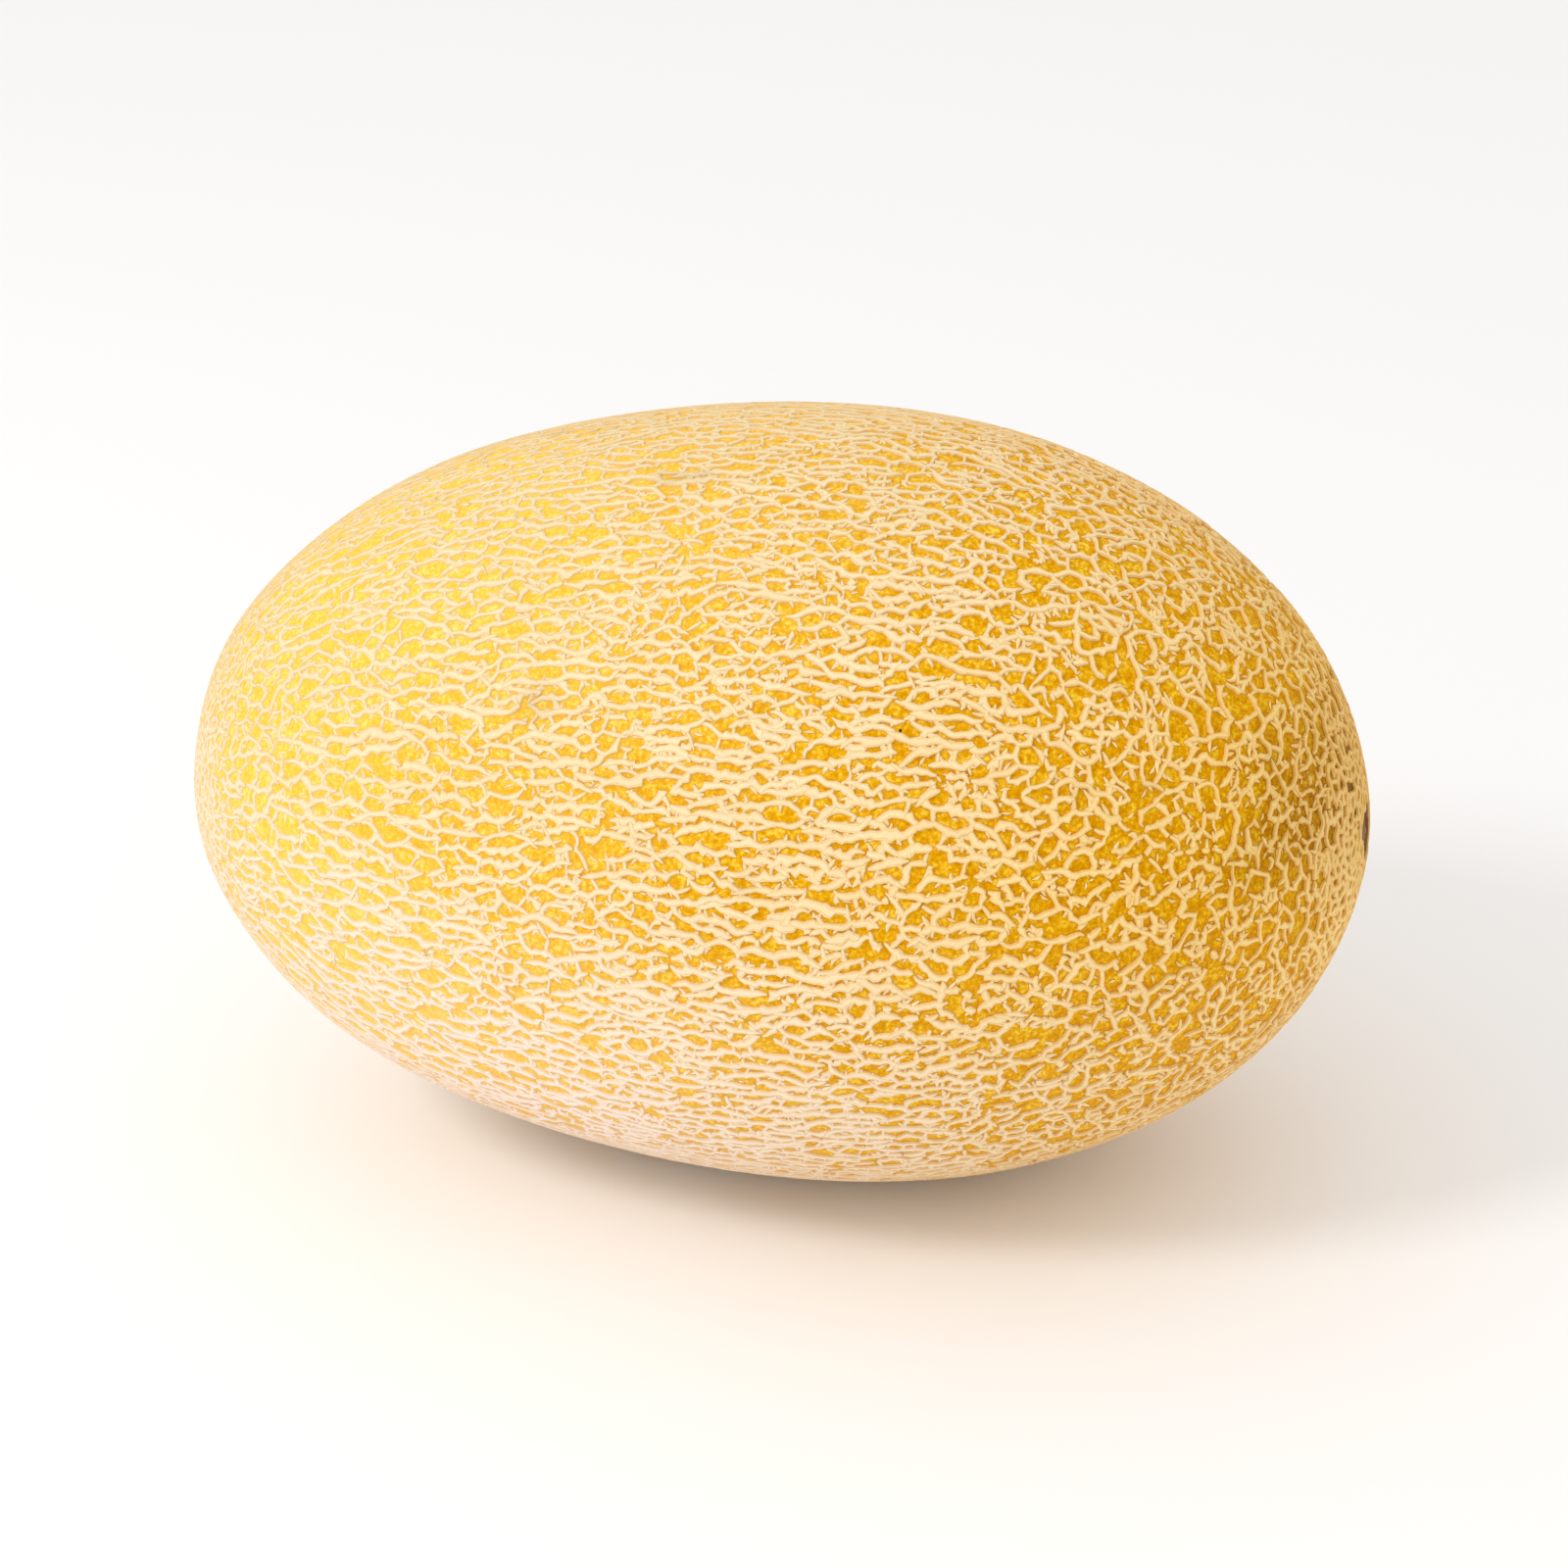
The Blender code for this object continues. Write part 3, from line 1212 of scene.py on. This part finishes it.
        # Undersides lie on the line between two rows, where they take no room
        places[hidden, 1] = np.floor(places[hidden, 1])
        places = 0.002 + 0.996 * places / (strips.max(axis=0) + 0.1)
        layer = mesh.uv_layers.new(name="OFBake")
        layer.data.foreach_set("uv", places.astype(np.float32).ravel())


@dataclass
class Rind:
    """The golden skin under the net, with the stem scar at +X and the blossom scar at -X."""

    form: FruitForm
    around: int = 144
    rows: int = 150
    crowding: float = 0.115
    scar_radius: float = 5.2 * MM
    scar_depth: float = 0.4 * MM
    rim_place: float = 1.16
    rim_height: float = 0.25 * MM
    rim_width: float = 0.9 * MM
    fibre_height: float = 0.12 * MM
    core_radius: float = 1.4 * MM
    core_height: float = 0.45 * MM
    button_radius: float = 4.5 * MM
    button_height: float = 0.4 * MM
    dimple_radius: float = 1.2 * MM
    dimple_depth: float = 0.5 * MM
    lift: float = 0.25 * MM
    far_off: float = 99.0

    def build(self, material: Material) -> Piece:
        """Makes the skin as one closed mesh.

        Args:
            material: The rind.

        Returns:
            The object.
        """
        bm = bmesh.new()
        bmesh.ops.create_uvsphere(bm, u_segments=self.around, v_segments=self.rows, radius=1.0)
        places = np.array([v.co for v in bm.verts])
        polar = np.arccos(np.clip(places[:, 2], -1.0, 1.0))
        # Rows crowd towards both ends, where the scars need them
        even = polar / math.pi
        angle = (even - self.crowding * np.sin(2.0 * math.pi * even)) * math.pi
        turn = np.arctan2(places[:, 1], places[:, 0])
        ring = np.where((polar < 1e-6) | (polar > math.pi - 1e-6), 0.0, np.sin(angle))
        around = (np.cos(angle), ring * np.cos(turn), ring * np.sin(turn))
        directions = unit(np.stack(around, axis=1))
        beside = self.form.from_scar(directions * self.form.scales)
        away = np.linalg.norm(beside, axis=1)
        heights = self.scar_relief(directions, away, np.arctan2(beside[:, 1], beside[:, 0]))
        points = self.form.place(directions, heights, self.lift)
        for vert, point in zip(bm.verts, points, strict=True):
            vert.co = point
        bmesh.ops.recalc_face_normals(bm, faces=bm.faces)
        mesh = bpy.data.meshes.new("melon_rind")
        bm.to_mesh(mesh)
        bm.free()
        mesh.shade_smooth()
        for value, end in (("from_stem", 1.0), ("from_blossom", -1.0)):
            at_this_end = directions[:, 0] * end > 0
            add_values(mesh, value, np.where(at_this_end, away / MM, self.far_off))
        return add_piece(mesh, material)

    def scar_relief(self, directions: Array, away: Array, turn: Array) -> Array:
        """The relief of the two scars.

        Args:
            directions: Unit vectors, one a row.
            away: Each one's distance from the middle of the nearer scar, in metres.
            turn: Its angle round that.

        Returns:
            Heights over the rind in metres.
        """
        stem = directions[:, 0] > 0
        radius = self.scar_radius * (1.0 + 0.05 * np.sin(3.0 * turn) + 0.03 * np.sin(7.0 * turn))
        sunk = 1.0 - smooth_step(0.80, 1.0, away / radius)
        ridge = np.exp(-(((away - radius * self.rim_place) / self.rim_width) ** 2))
        fibres = np.sin(17.0 * turn + 5.0 * np.sin(3.0 * turn)) * self.fibre_height * sunk
        core = np.exp(-((away / self.core_radius) ** 2))
        scar = ridge * self.rim_height - sunk * self.scar_depth
        scar += between(fibres, self.core_height, core)
        button = np.exp(-((away / self.button_radius) ** 4)) * self.button_height
        dimple = np.exp(-((away / self.dimple_radius) ** 2)) * self.dimple_depth
        return np.where(stem, scar, button - dimple)


def linear(colour: str) -> Colour:
    """An sRGB hex colour such as #FFCC00 as the linear colour that shaders take.

    Args:
        colour: A hash and six hex digits.

    Returns:
        Red, green, blue and an alpha of 1.
    """
    parts = [int(colour[i : i + 2], 16) / 255 for i in (1, 3, 5)]
    red, green, blue = (c / 12.92 if c <= 0.04045 else ((c + 0.055) / 1.055) ** 2.4 for c in parts)
    return red, green, blue, 1.0


def add_node(
    tree: Tree,
    kind: str,
    links: dict[str | int, object] | None = None,
    output: str | int = 0,
    stops: Sequence[tuple[float, str]] = (),
    **settings: object,
) -> Socket:
    """Adds a node with its settings and links.

    Args:
        tree: The material's nodes.
        kind: The node's type, without its ShaderNode prefix.
        links: What each input socket takes, by name or number: a socket or a value.
        output: The output socket to hand back, by name or number.
        stops: The places and hex colours of a colour ramp.
        settings: Values by property name.

    Returns:
        The output socket.
    """
    node = tree.nodes.new("ShaderNode" + kind)
    for name, value in settings.items():
        setattr(node, name, value)
    for name, source in (links or {}).items():
        if isinstance(source, Socket):
            tree.links.new(source, node.inputs[name])
        else:
            node.inputs[name].default_value = source
    elements = node.color_ramp.elements if stops else ()
    while len(elements) < len(stops):
        elements.new(0.5)
    for element, (place, colour) in zip(elements, stops, strict=True):
        element.position = place
        element.color = linear(colour)
    return node.outputs[output]


def laid_over(
    tree: Tree,
    under: Socket,
    over: Socket | Colour,
    value: Socket,
    levels: Pair,
    most: float = 1.0,
    within: Socket | None = None,
) -> Socket:
    """Lays one colour over another where a value passes from one level to a second.

    Args:
        tree: The material's nodes.
        under: The colour underneath.
        over: The colour on top.
        value: What decides.
        levels: The value where the top colour starts to show, and where it shows most.
        most: Its share there.
        within: A second share that also holds it back.

    Returns:
        The colour socket.
    """
    share = add_node(tree, "MapRange", {0: value, 1: levels[0], 2: levels[1], 3: 0.0, 4: most})
    if within is not None:
        share = add_node(tree, "Math", {0: share, 1: within}, operation="MULTIPLY")
    return add_node(tree, "Mix", {0: share, 6: under, 7: over}, 2, data_type="RGBA")


@dataclass(frozen=True)
class Finish:
    """A surface that grew with the fruit: a colour pattern and a fine relief on one shader.

    Rows of four colours run from the blossom end, over the middle and the stem side, to the
    stem end. They darken towards the stem end: partly the fruit's own colour, and partly painted
    shade that stands in for the light falling off away from the key lamp at the blossom end.
    """

    name: str
    roughness: float
    gloss: float
    relief: float
    tint: str = "#FFFFFF"
    row_places: tuple[float, ...] = (0.1, 0.5, 0.86, 0.97)
    ends: Pair = (-99.0 * MM, 141.0 * MM)
    course: float = 30.0 * MM
    course_shift: float = 40.0 * MM
    # Paler towards the bottom, painted light from the white floor, and paler towards the top
    height_shifts: tuple[Triple, ...] = (
        (92.0 * MM, 157.0 * MM, -55.0 * MM),
        (92.0 * MM, 50.0 * MM, -40.0 * MM),
    )

    def build(self) -> Material:
        """Makes the material.

        Returns:
            The material, which reads its patterns from object coordinates.
        """
        material = bpy.data.materials.new(self.name)
        material.use_nodes = True
        tree = material.node_tree
        colour, height = self.pattern(tree, add_node(tree, "TexCoord", output="Object"))
        shader = tree.nodes["Principled BSDF"].inputs
        shader["Roughness"].default_value = self.roughness
        shader["Specular IOR Level"].default_value = self.gloss
        shader["Specular Tint"].default_value = linear(self.tint)
        bump = add_node(tree, "Bump", {"Height": height, "Strength": 0.6, "Distance": self.relief})
        tree.links.new(colour, shader["Base Color"])
        tree.links.new(bump, shader["Normal"])
        return material

    def pattern(self, tree: Tree, place: Socket) -> tuple[Socket, Socket]:
        """The colour and the relief, which each finish works out in its own way."""
        raise NotImplementedError

    def share_along(self, tree: Tree, place: Socket) -> Socket:
        """0 at the blossom end and 1 at the stem end, with an uneven course between.

        Args:
            tree: The material's nodes.
            place: Object coordinates.

        Returns:
            The share's socket.
        """
        axes = add_node(tree, "SeparateXYZ", {"Vector": place}).node.outputs
        links = {"Vector": place, "Scale": 1.0 / self.course, "Detail": 1.0, "Roughness": 0.6}
        links = {0: add_node(tree, "TexNoise", links), 1: self.course_shift, 2: axes["X"]}
        shifted = add_node(tree, "Math", links, operation="MULTIPLY_ADD")
        # Towards the bottom the colours are drawn paler, painted light that stands in for light
        # bounced up from the white floor; they are also paler towards the top, and darkest half
        # way up the fruit
        for start, end, shift in self.height_shifts:
            paler = add_node(tree, "MapRange", {0: axes["Z"], 1: start, 2: end, 3: 0.0, 4: shift})
            shifted = add_node(tree, "Math", {0: shifted, 1: paler}, operation="ADD")
        return add_node(tree, "MapRange", {0: shifted, 1: self.ends[0], 2: self.ends[1]})

    def lengthwise(self, tree: Tree, along: Socket, *rows: Sequence[str]) -> list[Socket]:
        """Colours that change along the fruit.

        Args:
            tree: The material's nodes.
            along: 0 at the blossom end and 1 at the stem end.
            rows: Rows of four colours.

        Returns:
            One colour socket for each row.
        """
        # The rows darken towards the stem end, partly the fruit's own colour and partly painted
        # shade
        stops = [tuple(zip(self.row_places, row, strict=True)) for row in rows]
        return [add_node(tree, "ValToRGB", {"Fac": along}, "Color", row) for row in stops]


@dataclass(frozen=True)
class RindFinish(Finish):
    """Waxy melon skin that ripened on the plant from green to gold.

    It ripened unevenly, which gives the eye a mottled gold with paler granules, a trace of green
    by the stem, and a weak soft shine. Its low side, mostly on the blossom half, is drawn paler:
    painted light that stands in for the light bounced up from the white floor. Real granules are
    about 0.3 mm wide, too fine to show from here, so they are drawn coarser.
    """

    name: str = "ripe melon rind"
    roughness: float = 0.5
    gloss: float = 0.08
    relief: float = 0.14 * MM
    tint: str = "#E6A90C"
    gold: Colours = ("#FCCC4C", "#E6A90C", "#DC9B00", "#B47600")
    deep: Colours = ("#F6BC3C", "#CC8600", "#C47B00", "#8E5200")
    bright: Colours = ("#FFE284", "#FCD650", "#F4CA28", "#D8AA20")
    # Painted light: laid on the low side, mostly on the blossom half, for light bounced up from
    # the white floor
    painted_floor_glow: str = "#EEC88C"
    green: str = "#C0A41C"
    holes: str = "#6C4006"
    cork: str = "#DEBA80"
    scar: Colours = ("#A07848", "#80562C", "#5E3818", "#82582E", "#D8B47C")
    scar_places: tuple[float, ...] = (0.0, 0.3, 0.62, 0.8, 1.0)
    stain: str = "#A88030"
    speck: str = "#4A2C0E"
    speck_gap: float = 7.0 * MM
    granules: Pair = (0.8 * MM, 3.0)
    mottle: Pair = (2.4 * MM, 2.0)
    green_patches: Pair = (20.0 * MM, 1.0)
    stain_patches: Pair = (16.0 * MM, 1.5)

    def pattern(self, tree: Tree, place: Socket) -> tuple[Socket, Socket]:
        """The skin's colour and relief.

        Args:
            tree: The material's nodes.
            place: Object coordinates.

        Returns:
            The colour socket and the height socket.
        """
        noises = []
        for size, detail in (self.granules, self.mottle, self.green_patches, self.stain_patches):
            links = {"Vector": place, "Scale": 1.0 / size, "Detail": detail, "Roughness": 0.6}
            noises.append(add_node(tree, "TexNoise", links))
        granules, mottle, greens, stains = noises
        grain = add_node(tree, "Math", {0: mottle, 1: 0.5, 2: granules}, operation="MULTIPLY_ADD")
        along = self.share_along(tree, place)
        gold, deep, bright = self.lengthwise(tree, along, self.gold, self.deep, self.bright)
        colour = laid_over(tree, gold, deep, grain, (0.74, 0.56), 0.8)
        colour = laid_over(tree, colour, bright, grain, (0.76, 0.95))
        level = add_node(tree, "SeparateXYZ", {"Vector": place}, "Z")
        # Painted light: the low side, mostly on the blossom half, is paled as if lit by the white
        # floor below
        left = add_node(tree, "MapRange", {0: along, 1: 0.47, 2: 0.1, 3: 0.1, 4: 1.0})
        painted_floor_glow = linear(self.painted_floor_glow)
        colour = laid_over(tree, colour, painted_floor_glow, level, (90.0 * MM, 20.0 * MM), 0.5, left)
        near_stem = add_node(tree, "MapRange", {0: along, 1: 0.84, 2: 0.95})
        green = linear(self.green)
        colour = laid_over(tree, colour, green, greens, (0.45, 0.65), 0.1, near_stem)
        colour = laid_over(tree, colour, linear(self.stain), stains, (0.70, 0.82), 0.22)
        links = {"Vector": place, "Scale": 1.0 / self.speck_gap}
        specks = add_node(tree, "TexVoronoi", links, "Distance", feature="F1")
        chance = add_node(tree, "SeparateXYZ", {"Vector": specks.node.outputs["Color"]}, "X")
        few = add_node(tree, "MapRange", {0: chance, 1: 0.78, 2: 0.80})
        speck = linear(self.speck)
        colour = laid_over(tree, colour, speck, specks, (0.055, 0.035), within=few)
        return self.with_scars(tree, colour, granules, level), grain

    def with_scars(self, tree: Tree, colour: Socket, grain: Socket, level: Socket) -> Socket:
        """The colour with the corky skin and the brown scar at each end.

        Distances from a scar's middle are in millimetres.

        Args:
            tree: The material's nodes.
            colour: The skin's colour.
            grain: Fine noise.
            level: The height over the floor, in metres.

        Returns:
            The colour socket.
        """
        # The dark skin reaches further up from the stem scar than down
        links = {0: level, 1: 30.0 * MM, 2: 110.0 * MM, 3: 5.0, 4: -4.0}
        lift = add_node(tree, "MapRange", links)
        for name, size, dark, reach in (
            ("from_stem", 1.0, 0.9, 9.5),
            ("from_blossom", 0.34, 0.0, 6.5),
        ):
            away = add_node(tree, "Attribute", output="Fac", attribute_name=name)
            links = {0: grain, 1: 2.4 * size, 2: away}
            away = add_node(tree, "Math", links, operation="MULTIPLY_ADD")
            away = add_node(tree, "Math", {0: away, 1: 1.2 * size}, operation="SUBTRACT")
            darker = add_node(tree, "Math", {0: away, 1: lift}, operation="ADD")
            holes = linear(self.holes)
            colour = laid_over(tree, colour, holes, darker, (23.0 * size, 13.0 * size), dark)
            colour = laid_over(tree, colour, linear(self.cork), away, (reach, reach - 2.0), 0.9)
            share = add_node(tree, "MapRange", {0: away, 1: 0.0, 2: 6.8 * size})
            stops = tuple(zip(self.scar_places, self.scar, strict=True))
            brown = add_node(tree, "ValToRGB", {"Fac": share}, "Color", stops)
            colour = laid_over(tree, colour, brown, away, (6.8 * size, 6.2 * size))
        return colour


@dataclass(frozen=True)
class CorkFinish(Finish):
    """Dry cork that healed the cracks of the growing skin.

    It gives the eye a matt cream top with fine darker lines inside its edge, which are painted
    shade where the top rounds into its sides, and a tan to brown foot, which is partly a brown
    crack line and partly painted shade where the stroke meets the skin. The low side, mostly on
    the blossom half, is drawn pale pink: painted light bounced up from the white floor. Real cork
    grain is about 0.1 mm wide, too fine to show, so it is drawn coarser.
    """

    name: str = "dry melon cork"
    roughness: float = 0.85
    gloss: float = 0.05
    relief: float = 0.12 * MM
    cream: Colours = ("#ECD6AA", "#F0D6A6", "#F4CE80", "#E6BC6C")
    light: Colours = ("#F4E0B8", "#F9E2B8", "#FADC92", "#F0CC88")
    # Partly a brown crack line and partly painted shade where each stroke meets the skin
    foot: Colours = ("#F8D688", "#C88614", "#8E5400", "#543008")
    # Painted light: pale pink on the low side, mostly on the blossom half, for light bounced up
    # from the white floor
    painted_floor_glow_pink: str = "#FFF0EC"
    stain: str = "#B08E5C"
    # Painted shade: fine darker lines inside each top's edge, where the top rounds into its sides
    edges: tuple[tuple[float, str], ...] = (
        (0.5, "#FFFFFF"),
        (0.68, "#F0E2C8"),
        (0.84, "#FFFDF8"),
        (1.0, "#F4E6C8"),
    )
    grain: Pair = (0.4 * MM, 2.0)
    stain_patches: Pair = (16.0 * MM, 1.5)

    def pattern(self, tree: Tree, place: Socket) -> tuple[Socket, Socket]:
        """The cork's colour and relief.

        Args:
            tree: The material's nodes.
            place: Object coordinates.

        Returns:
            The colour socket and the height socket.
        """
        rise, side, tone = (
            add_node(tree, "Attribute", output="Fac", attribute_name=name)
            for name in ("rise", "side", "tone")
        )
        noises = []
        for size, detail in (self.grain, self.stain_patches):
            links = {"Vector": place, "Scale": 1.0 / size, "Detail": detail, "Roughness": 0.6}
            noises.append(add_node(tree, "TexNoise", links))
        grain, stains = noises
        along = self.share_along(tree, place)
        cream, light, foot = self.lengthwise(tree, along, self.cream, self.light, self.foot)
        lit = add_node(tree, "Math", {0: tone, 1: 0.25, 2: grain}, operation="MULTIPLY_ADD")
        cream = laid_over(tree, cream, light, lit, (0.5, 0.9))
        level = add_node(tree, "SeparateXYZ", {"Vector": place}, "Z")
        # Painted light: the low side, mostly on the blossom half, is turned pale pink as if lit by
        # the white floor below
        left = add_node(tree, "MapRange", {0: along, 1: 0.62, 2: 0.2, 3: 0.1, 4: 1.0})
        painted_floor_glow_pink = linear(self.painted_floor_glow_pink)
        cream = laid_over(tree, cream, painted_floor_glow_pink, level, (100.0 * MM, 30.0 * MM), 0.85, left)
        # Painted shade: darker lines inside each top's edge, where it rounds into its sides
        aside = add_node(tree, "Math", {0: side}, operation="ABSOLUTE")
        edges = add_node(tree, "ValToRGB", {"Fac": aside}, "Color", self.edges)
        links = {0: 1.0, 6: cream, 7: edges}
        top = add_node(tree, "Mix", links, 2, data_type="RGBA", blend_type="MULTIPLY")
        # The foot colour, partly painted shade, shows low on each stroke's sides
        colour = laid_over(tree, foot, top, rise, (0.0, 0.11))
        colour = laid_over(tree, colour, linear(self.stain), stains, (0.70, 0.82), 0.35)
        crown = add_node(tree, "MapRange", {0: aside, 1: 1.0, 2: 0.45})
        height = add_node(tree, "Math", {0: grain, 1: 0.5, 2: crown}, operation="MULTIPLY_ADD")
        return colour, height


@dataclass(frozen=True)
class PaperFinish:
    """Matt white studio paper, which gives the eye an even ground with a soft shadow."""

    colour: str = "#FCFBFA"
    roughness: float = 0.9

    def build(self) -> Material:
        """Makes the material.

        Returns:
            The material.
        """
        material = bpy.data.materials.new("white studio paper")
        material.use_nodes = True
        shader = material.node_tree.nodes["Principled BSDF"].inputs
        shader["Base Color"].default_value = linear(self.colour)
        shader["Roughness"].default_value = self.roughness
        return material


@dataclass(frozen=True)
class Lamp:
    """A round soft light that points at the fruit."""

    name: str
    place: Triple
    size: float
    power: float

    def build(self, target: Vector) -> None:
        """Puts the lamp in the scene.

        Args:
            target: The point that it looks at.
        """
        light = bpy.data.lights.new(self.name, "AREA")
        light.shape = "DISK"
        light.size = self.size
        light.energy = self.power
        lamp = bpy.data.objects.new(self.name, light)
        lamp.location = self.place
        lamp.rotation_euler = (target - Vector(self.place)).to_track_quat("-Z", "Y").to_euler()
        bpy.context.scene.collection.objects.link(lamp)


@dataclass
class Studio:
    """A plain white floor, soft light from the left and above, and the photo's camera."""

    form: FruitForm
    floor_reach: float = 6.0
    air: float = 0.88
    lamps: tuple[Lamp, ...] = (
        Lamp("key_light", (-0.75, -0.65, 0.95), 0.36, 5.1),
        Lamp("fill_light", (0.5, -1.15, 0.25), 1.0, 1.0),
    )
    azimuth: float = 10.0
    elevation: float = 25.0
    lens: float = 100.0
    sensor: float = 36.0
    photo_pixels: float = 1600.0
    fruit_pixels: float = 1207.0
    fruit_centre: Pair = (790.0, 804.0)

    def build(self) -> None:
        """Makes the floor, the lights and the camera."""
        self.add_floor()
        self.add_air()
        for lamp in self.lamps:
            lamp.build(Vector((0.0, 0.0, self.form.half_width)))
        self.add_camera()

    def add_floor(self) -> None:
        """A wide pale floor at height 0."""
        bm = bmesh.new()
        bmesh.ops.create_grid(bm, x_segments=1, y_segments=1, size=self.floor_reach)
        mesh = bpy.data.meshes.new("studio_floor")
        bm.to_mesh(mesh)
        bm.free()
        floor = add_piece(mesh, PaperFinish().build())

    def add_air(self) -> None:
        """Bright air, which lights the fruit from all sides."""
        world = bpy.data.worlds.new("bright_air")
        world.use_nodes = True
        background = world.node_tree.nodes["Background"].inputs
        background["Color"].default_value = linear("#FFFFFF")
        background["Strength"].default_value = self.air
        bpy.context.scene.world = world

    def add_camera(self) -> None:
        """A camera that sees the fruit as large and as placed as the photo shows it."""
        data = bpy.data.cameras.new("camera")
        data.lens = self.lens
        data.sensor_width = self.sensor
        across = self.form.length * self.photo_pixels / self.fruit_pixels
        distance = across * self.lens / self.sensor
        azimuth = math.radians(self.azimuth)
        elevation = math.radians(self.elevation)
        level = math.cos(elevation)
        towards = Vector(
            (math.sin(azimuth) * level, -math.cos(azimuth) * level, math.sin(elevation))
        )
        right = Vector((math.cos(azimuth), math.sin(azimuth), 0.0))
        up = towards.cross(right)
        pixel = across / self.photo_pixels
        aside = (self.photo_pixels / 2 - self.fruit_centre[0]) * pixel
        below = (self.fruit_centre[1] - self.photo_pixels / 2) * pixel
        middle = Vector((0.0, 0.0, self.form.half_width - self.form.flat_depth))
        camera = bpy.data.objects.new("camera", data)
        camera.location = middle + towards * distance + right * aside + up * below
        camera.rotation_euler = (math.pi / 2 - elevation, 0.0, azimuth)
        bpy.context.scene.collection.objects.link(camera)
        bpy.context.scene.camera = camera
        bpy.context.scene.view_settings.view_transform = "Standard"


def main() -> None:
    """Builds the studio and the fruit, and reports each piece."""
    form = FruitForm()
    Studio(form).build()
    rind = Rind(form).build(RindFinish().build())
    regions = NetRegions()
    plan = NetPlan(form, regions)
    log.info("net plan: %d cells, %d chains", len(plan.seeds), len(plan.chains))
    net = CorkNet(form, regions, plan)
    log.info("net strokes: %d", len(net.strokes))
    pieces = [rind, *net.build(CorkFinish().build())]
    for piece in pieces:
        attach(piece, ROOT)
        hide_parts(NODE)
        piece.data.calc_loop_triangles()
        log.info("%s: %d triangles", piece.name, len(piece.data.loop_triangles))
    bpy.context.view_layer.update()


if __name__ == "__main__":
    main()
